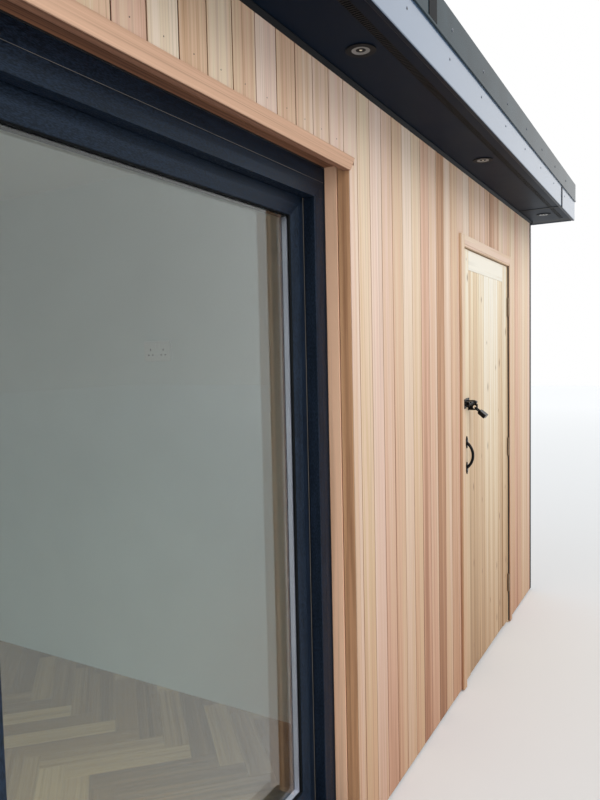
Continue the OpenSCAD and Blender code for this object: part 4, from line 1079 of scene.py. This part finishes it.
# Their material, and how far their edges are eased
DRESSED = [
    (foil_x, 1.2 * MM, ["patio_frame_head", "patio_frame_sill", "patio_cill"]),
    (foil_z, 1.2 * MM, ["patio_frame_jambs"]),
    (foil_fixed, 1.2 * MM, ["fixed_sash"]),
    (foil_sliding, 1.2 * MM, ["sliding_sash"]),
    (fascia_painted_sheen, 4 * MM, ["front_fascia", "side_fascias", "back_fascia"]),
    (cap_gloss, 0.8 * MM, ["roof_edge_caps"]),
    (soffit_satin, 0, ["soffit"]),
    (black_satin, 0.5 * MM, ["corner_trims", "soffit_wall_trim", "joint_strips", "rear_gutter",
                             "downpipe", "side_soffits", "downlights"]),
    (powder_coat, 0.4 * MM, ["bolt_keep", "bolt_plate", "door_handle", "sliding_bolt",
                             "padlock"]),
    (hinge_bronze, 0.4 * MM, ["frame_hinge_leaves", "door_hinge_leaves"]),
    (light_steel, 0.4 * MM, ["sash_rollers"]),
    (powder_coat, 0.5 * MM, ["sash_pull"]),
    (membrane, 0, ["roof_membrane"]),
    (wall_paint, 0, ["wall_linings"]),
    (ceiling_paint, 0, ["ceiling"]),
    (white_plastic, 3 * MM, ["wall_socket"]),
    (sawn_z, 0, ["front_wall_left", "front_wall_middle", "front_wall_right", "back_wall",
                 "left_wall", "right_wall", "partition_wall"]),
    (sawn_x, 0, ["patio_header", "side_door_header", "floor_base", "roof_panel", "front_kerb",
                 "side_kerbs"]),
    (pine_x, 1.5 * MM, ["side_door_head", "door_ledges"]),
    (pine_z, 1.5 * MM, ["side_door_jambs"]),
]
for material, edge, names in DRESSED:
    for name in names:
        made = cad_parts[name]
        if not made.material_slots:
            made.data.materials.append(material)
        for slot in made.material_slots:
            slot.material = material
        if edge:
            made.modifiers.new("weld", "WELD").merge_threshold = WELD
            eased(made, edge)


# Stage

bpy.ops.mesh.primitive_plane_add(size=FLOOR_SIZE)
ground = bpy.context.object
ground.name = "studio_floor"
floor_material, floor_tree, floor_shader = surface("studio_floor", roughness=0.9)
away = node(floor_tree, "VectorMath", {0: object_place(floor_tree)},
            operation="LENGTH").outputs["Value"]
feed(floor_tree, floor_shader, "Base Color",
     ramp(floor_tree, map_range(floor_tree, away, *FLOOR_FADE, 0.0, 1.0), FLOOR_GREYS))
ground.data.materials.append(floor_material)

world = bpy.data.worlds.new("studio")
bpy.context.scene.world = world
world.use_nodes = True
world_tree = world.node_tree
plain = world_tree.nodes["Background"]
plain.inputs["Color"].default_value = WORLD_COLOUR
plain.inputs["Strength"].default_value = WORLD_LIGHT
white = node(world_tree, "Background", {"Color": (1, 1, 1, 1), "Strength": 1.0})
path = node(world_tree, "LightPath").outputs
seen = math_node(world_tree, "MAXIMUM", path["Is Camera Ray"], path["Is Glossy Ray"])
seen = math_node(world_tree, "MAXIMUM", seen, path["Is Transmission Ray"])
world_mix = node(world_tree, "MixShader", {0: seen, 1: plain.outputs[0], 2: white.outputs[0]})
world_tree.links.new(world_mix.outputs[0], world_tree.nodes["World Output"].inputs["Surface"])

sun_data = bpy.data.lights.new("soft_sun", "SUN")
sun_data.energy = SUN_LIGHT
sun_data.angle = math.radians(SUN_SPREAD_DEG)
sun = bpy.data.objects.new("soft_sun", sun_data)
bpy.context.scene.collection.objects.link(sun)
sun.rotation_euler = (math.radians(SUN_TILT_DEG), 0, math.radians(SUN_TURN_DEG))

camera_data = bpy.data.cameras.new("camera")
camera_data.lens = FOCAL_LENGTH_MM
camera_data.sensor_width = SENSOR_MM
camera_data.clip_start = CLIP_START
camera = bpy.data.objects.new("camera", camera_data)
bpy.context.scene.collection.objects.link(camera)
eye = Vector((reveal_r + EYE_FROM_REVEAL[0], face_y + EYE_FROM_REVEAL[1], EYE_FROM_REVEAL[2]))
camera.matrix_world = (Matrix.Translation(eye)
                       @ Matrix.Rotation(math.radians(TURN_DEG), 4, "Z")
                       @ Matrix.Rotation(math.radians(TILT_DEG), 4, "X")
                       @ Matrix.Rotation(math.radians(ROLL_DEG), 4, "Z"))
bpy.context.scene.camera = camera
bpy.context.scene.view_settings.view_transform = "Standard"
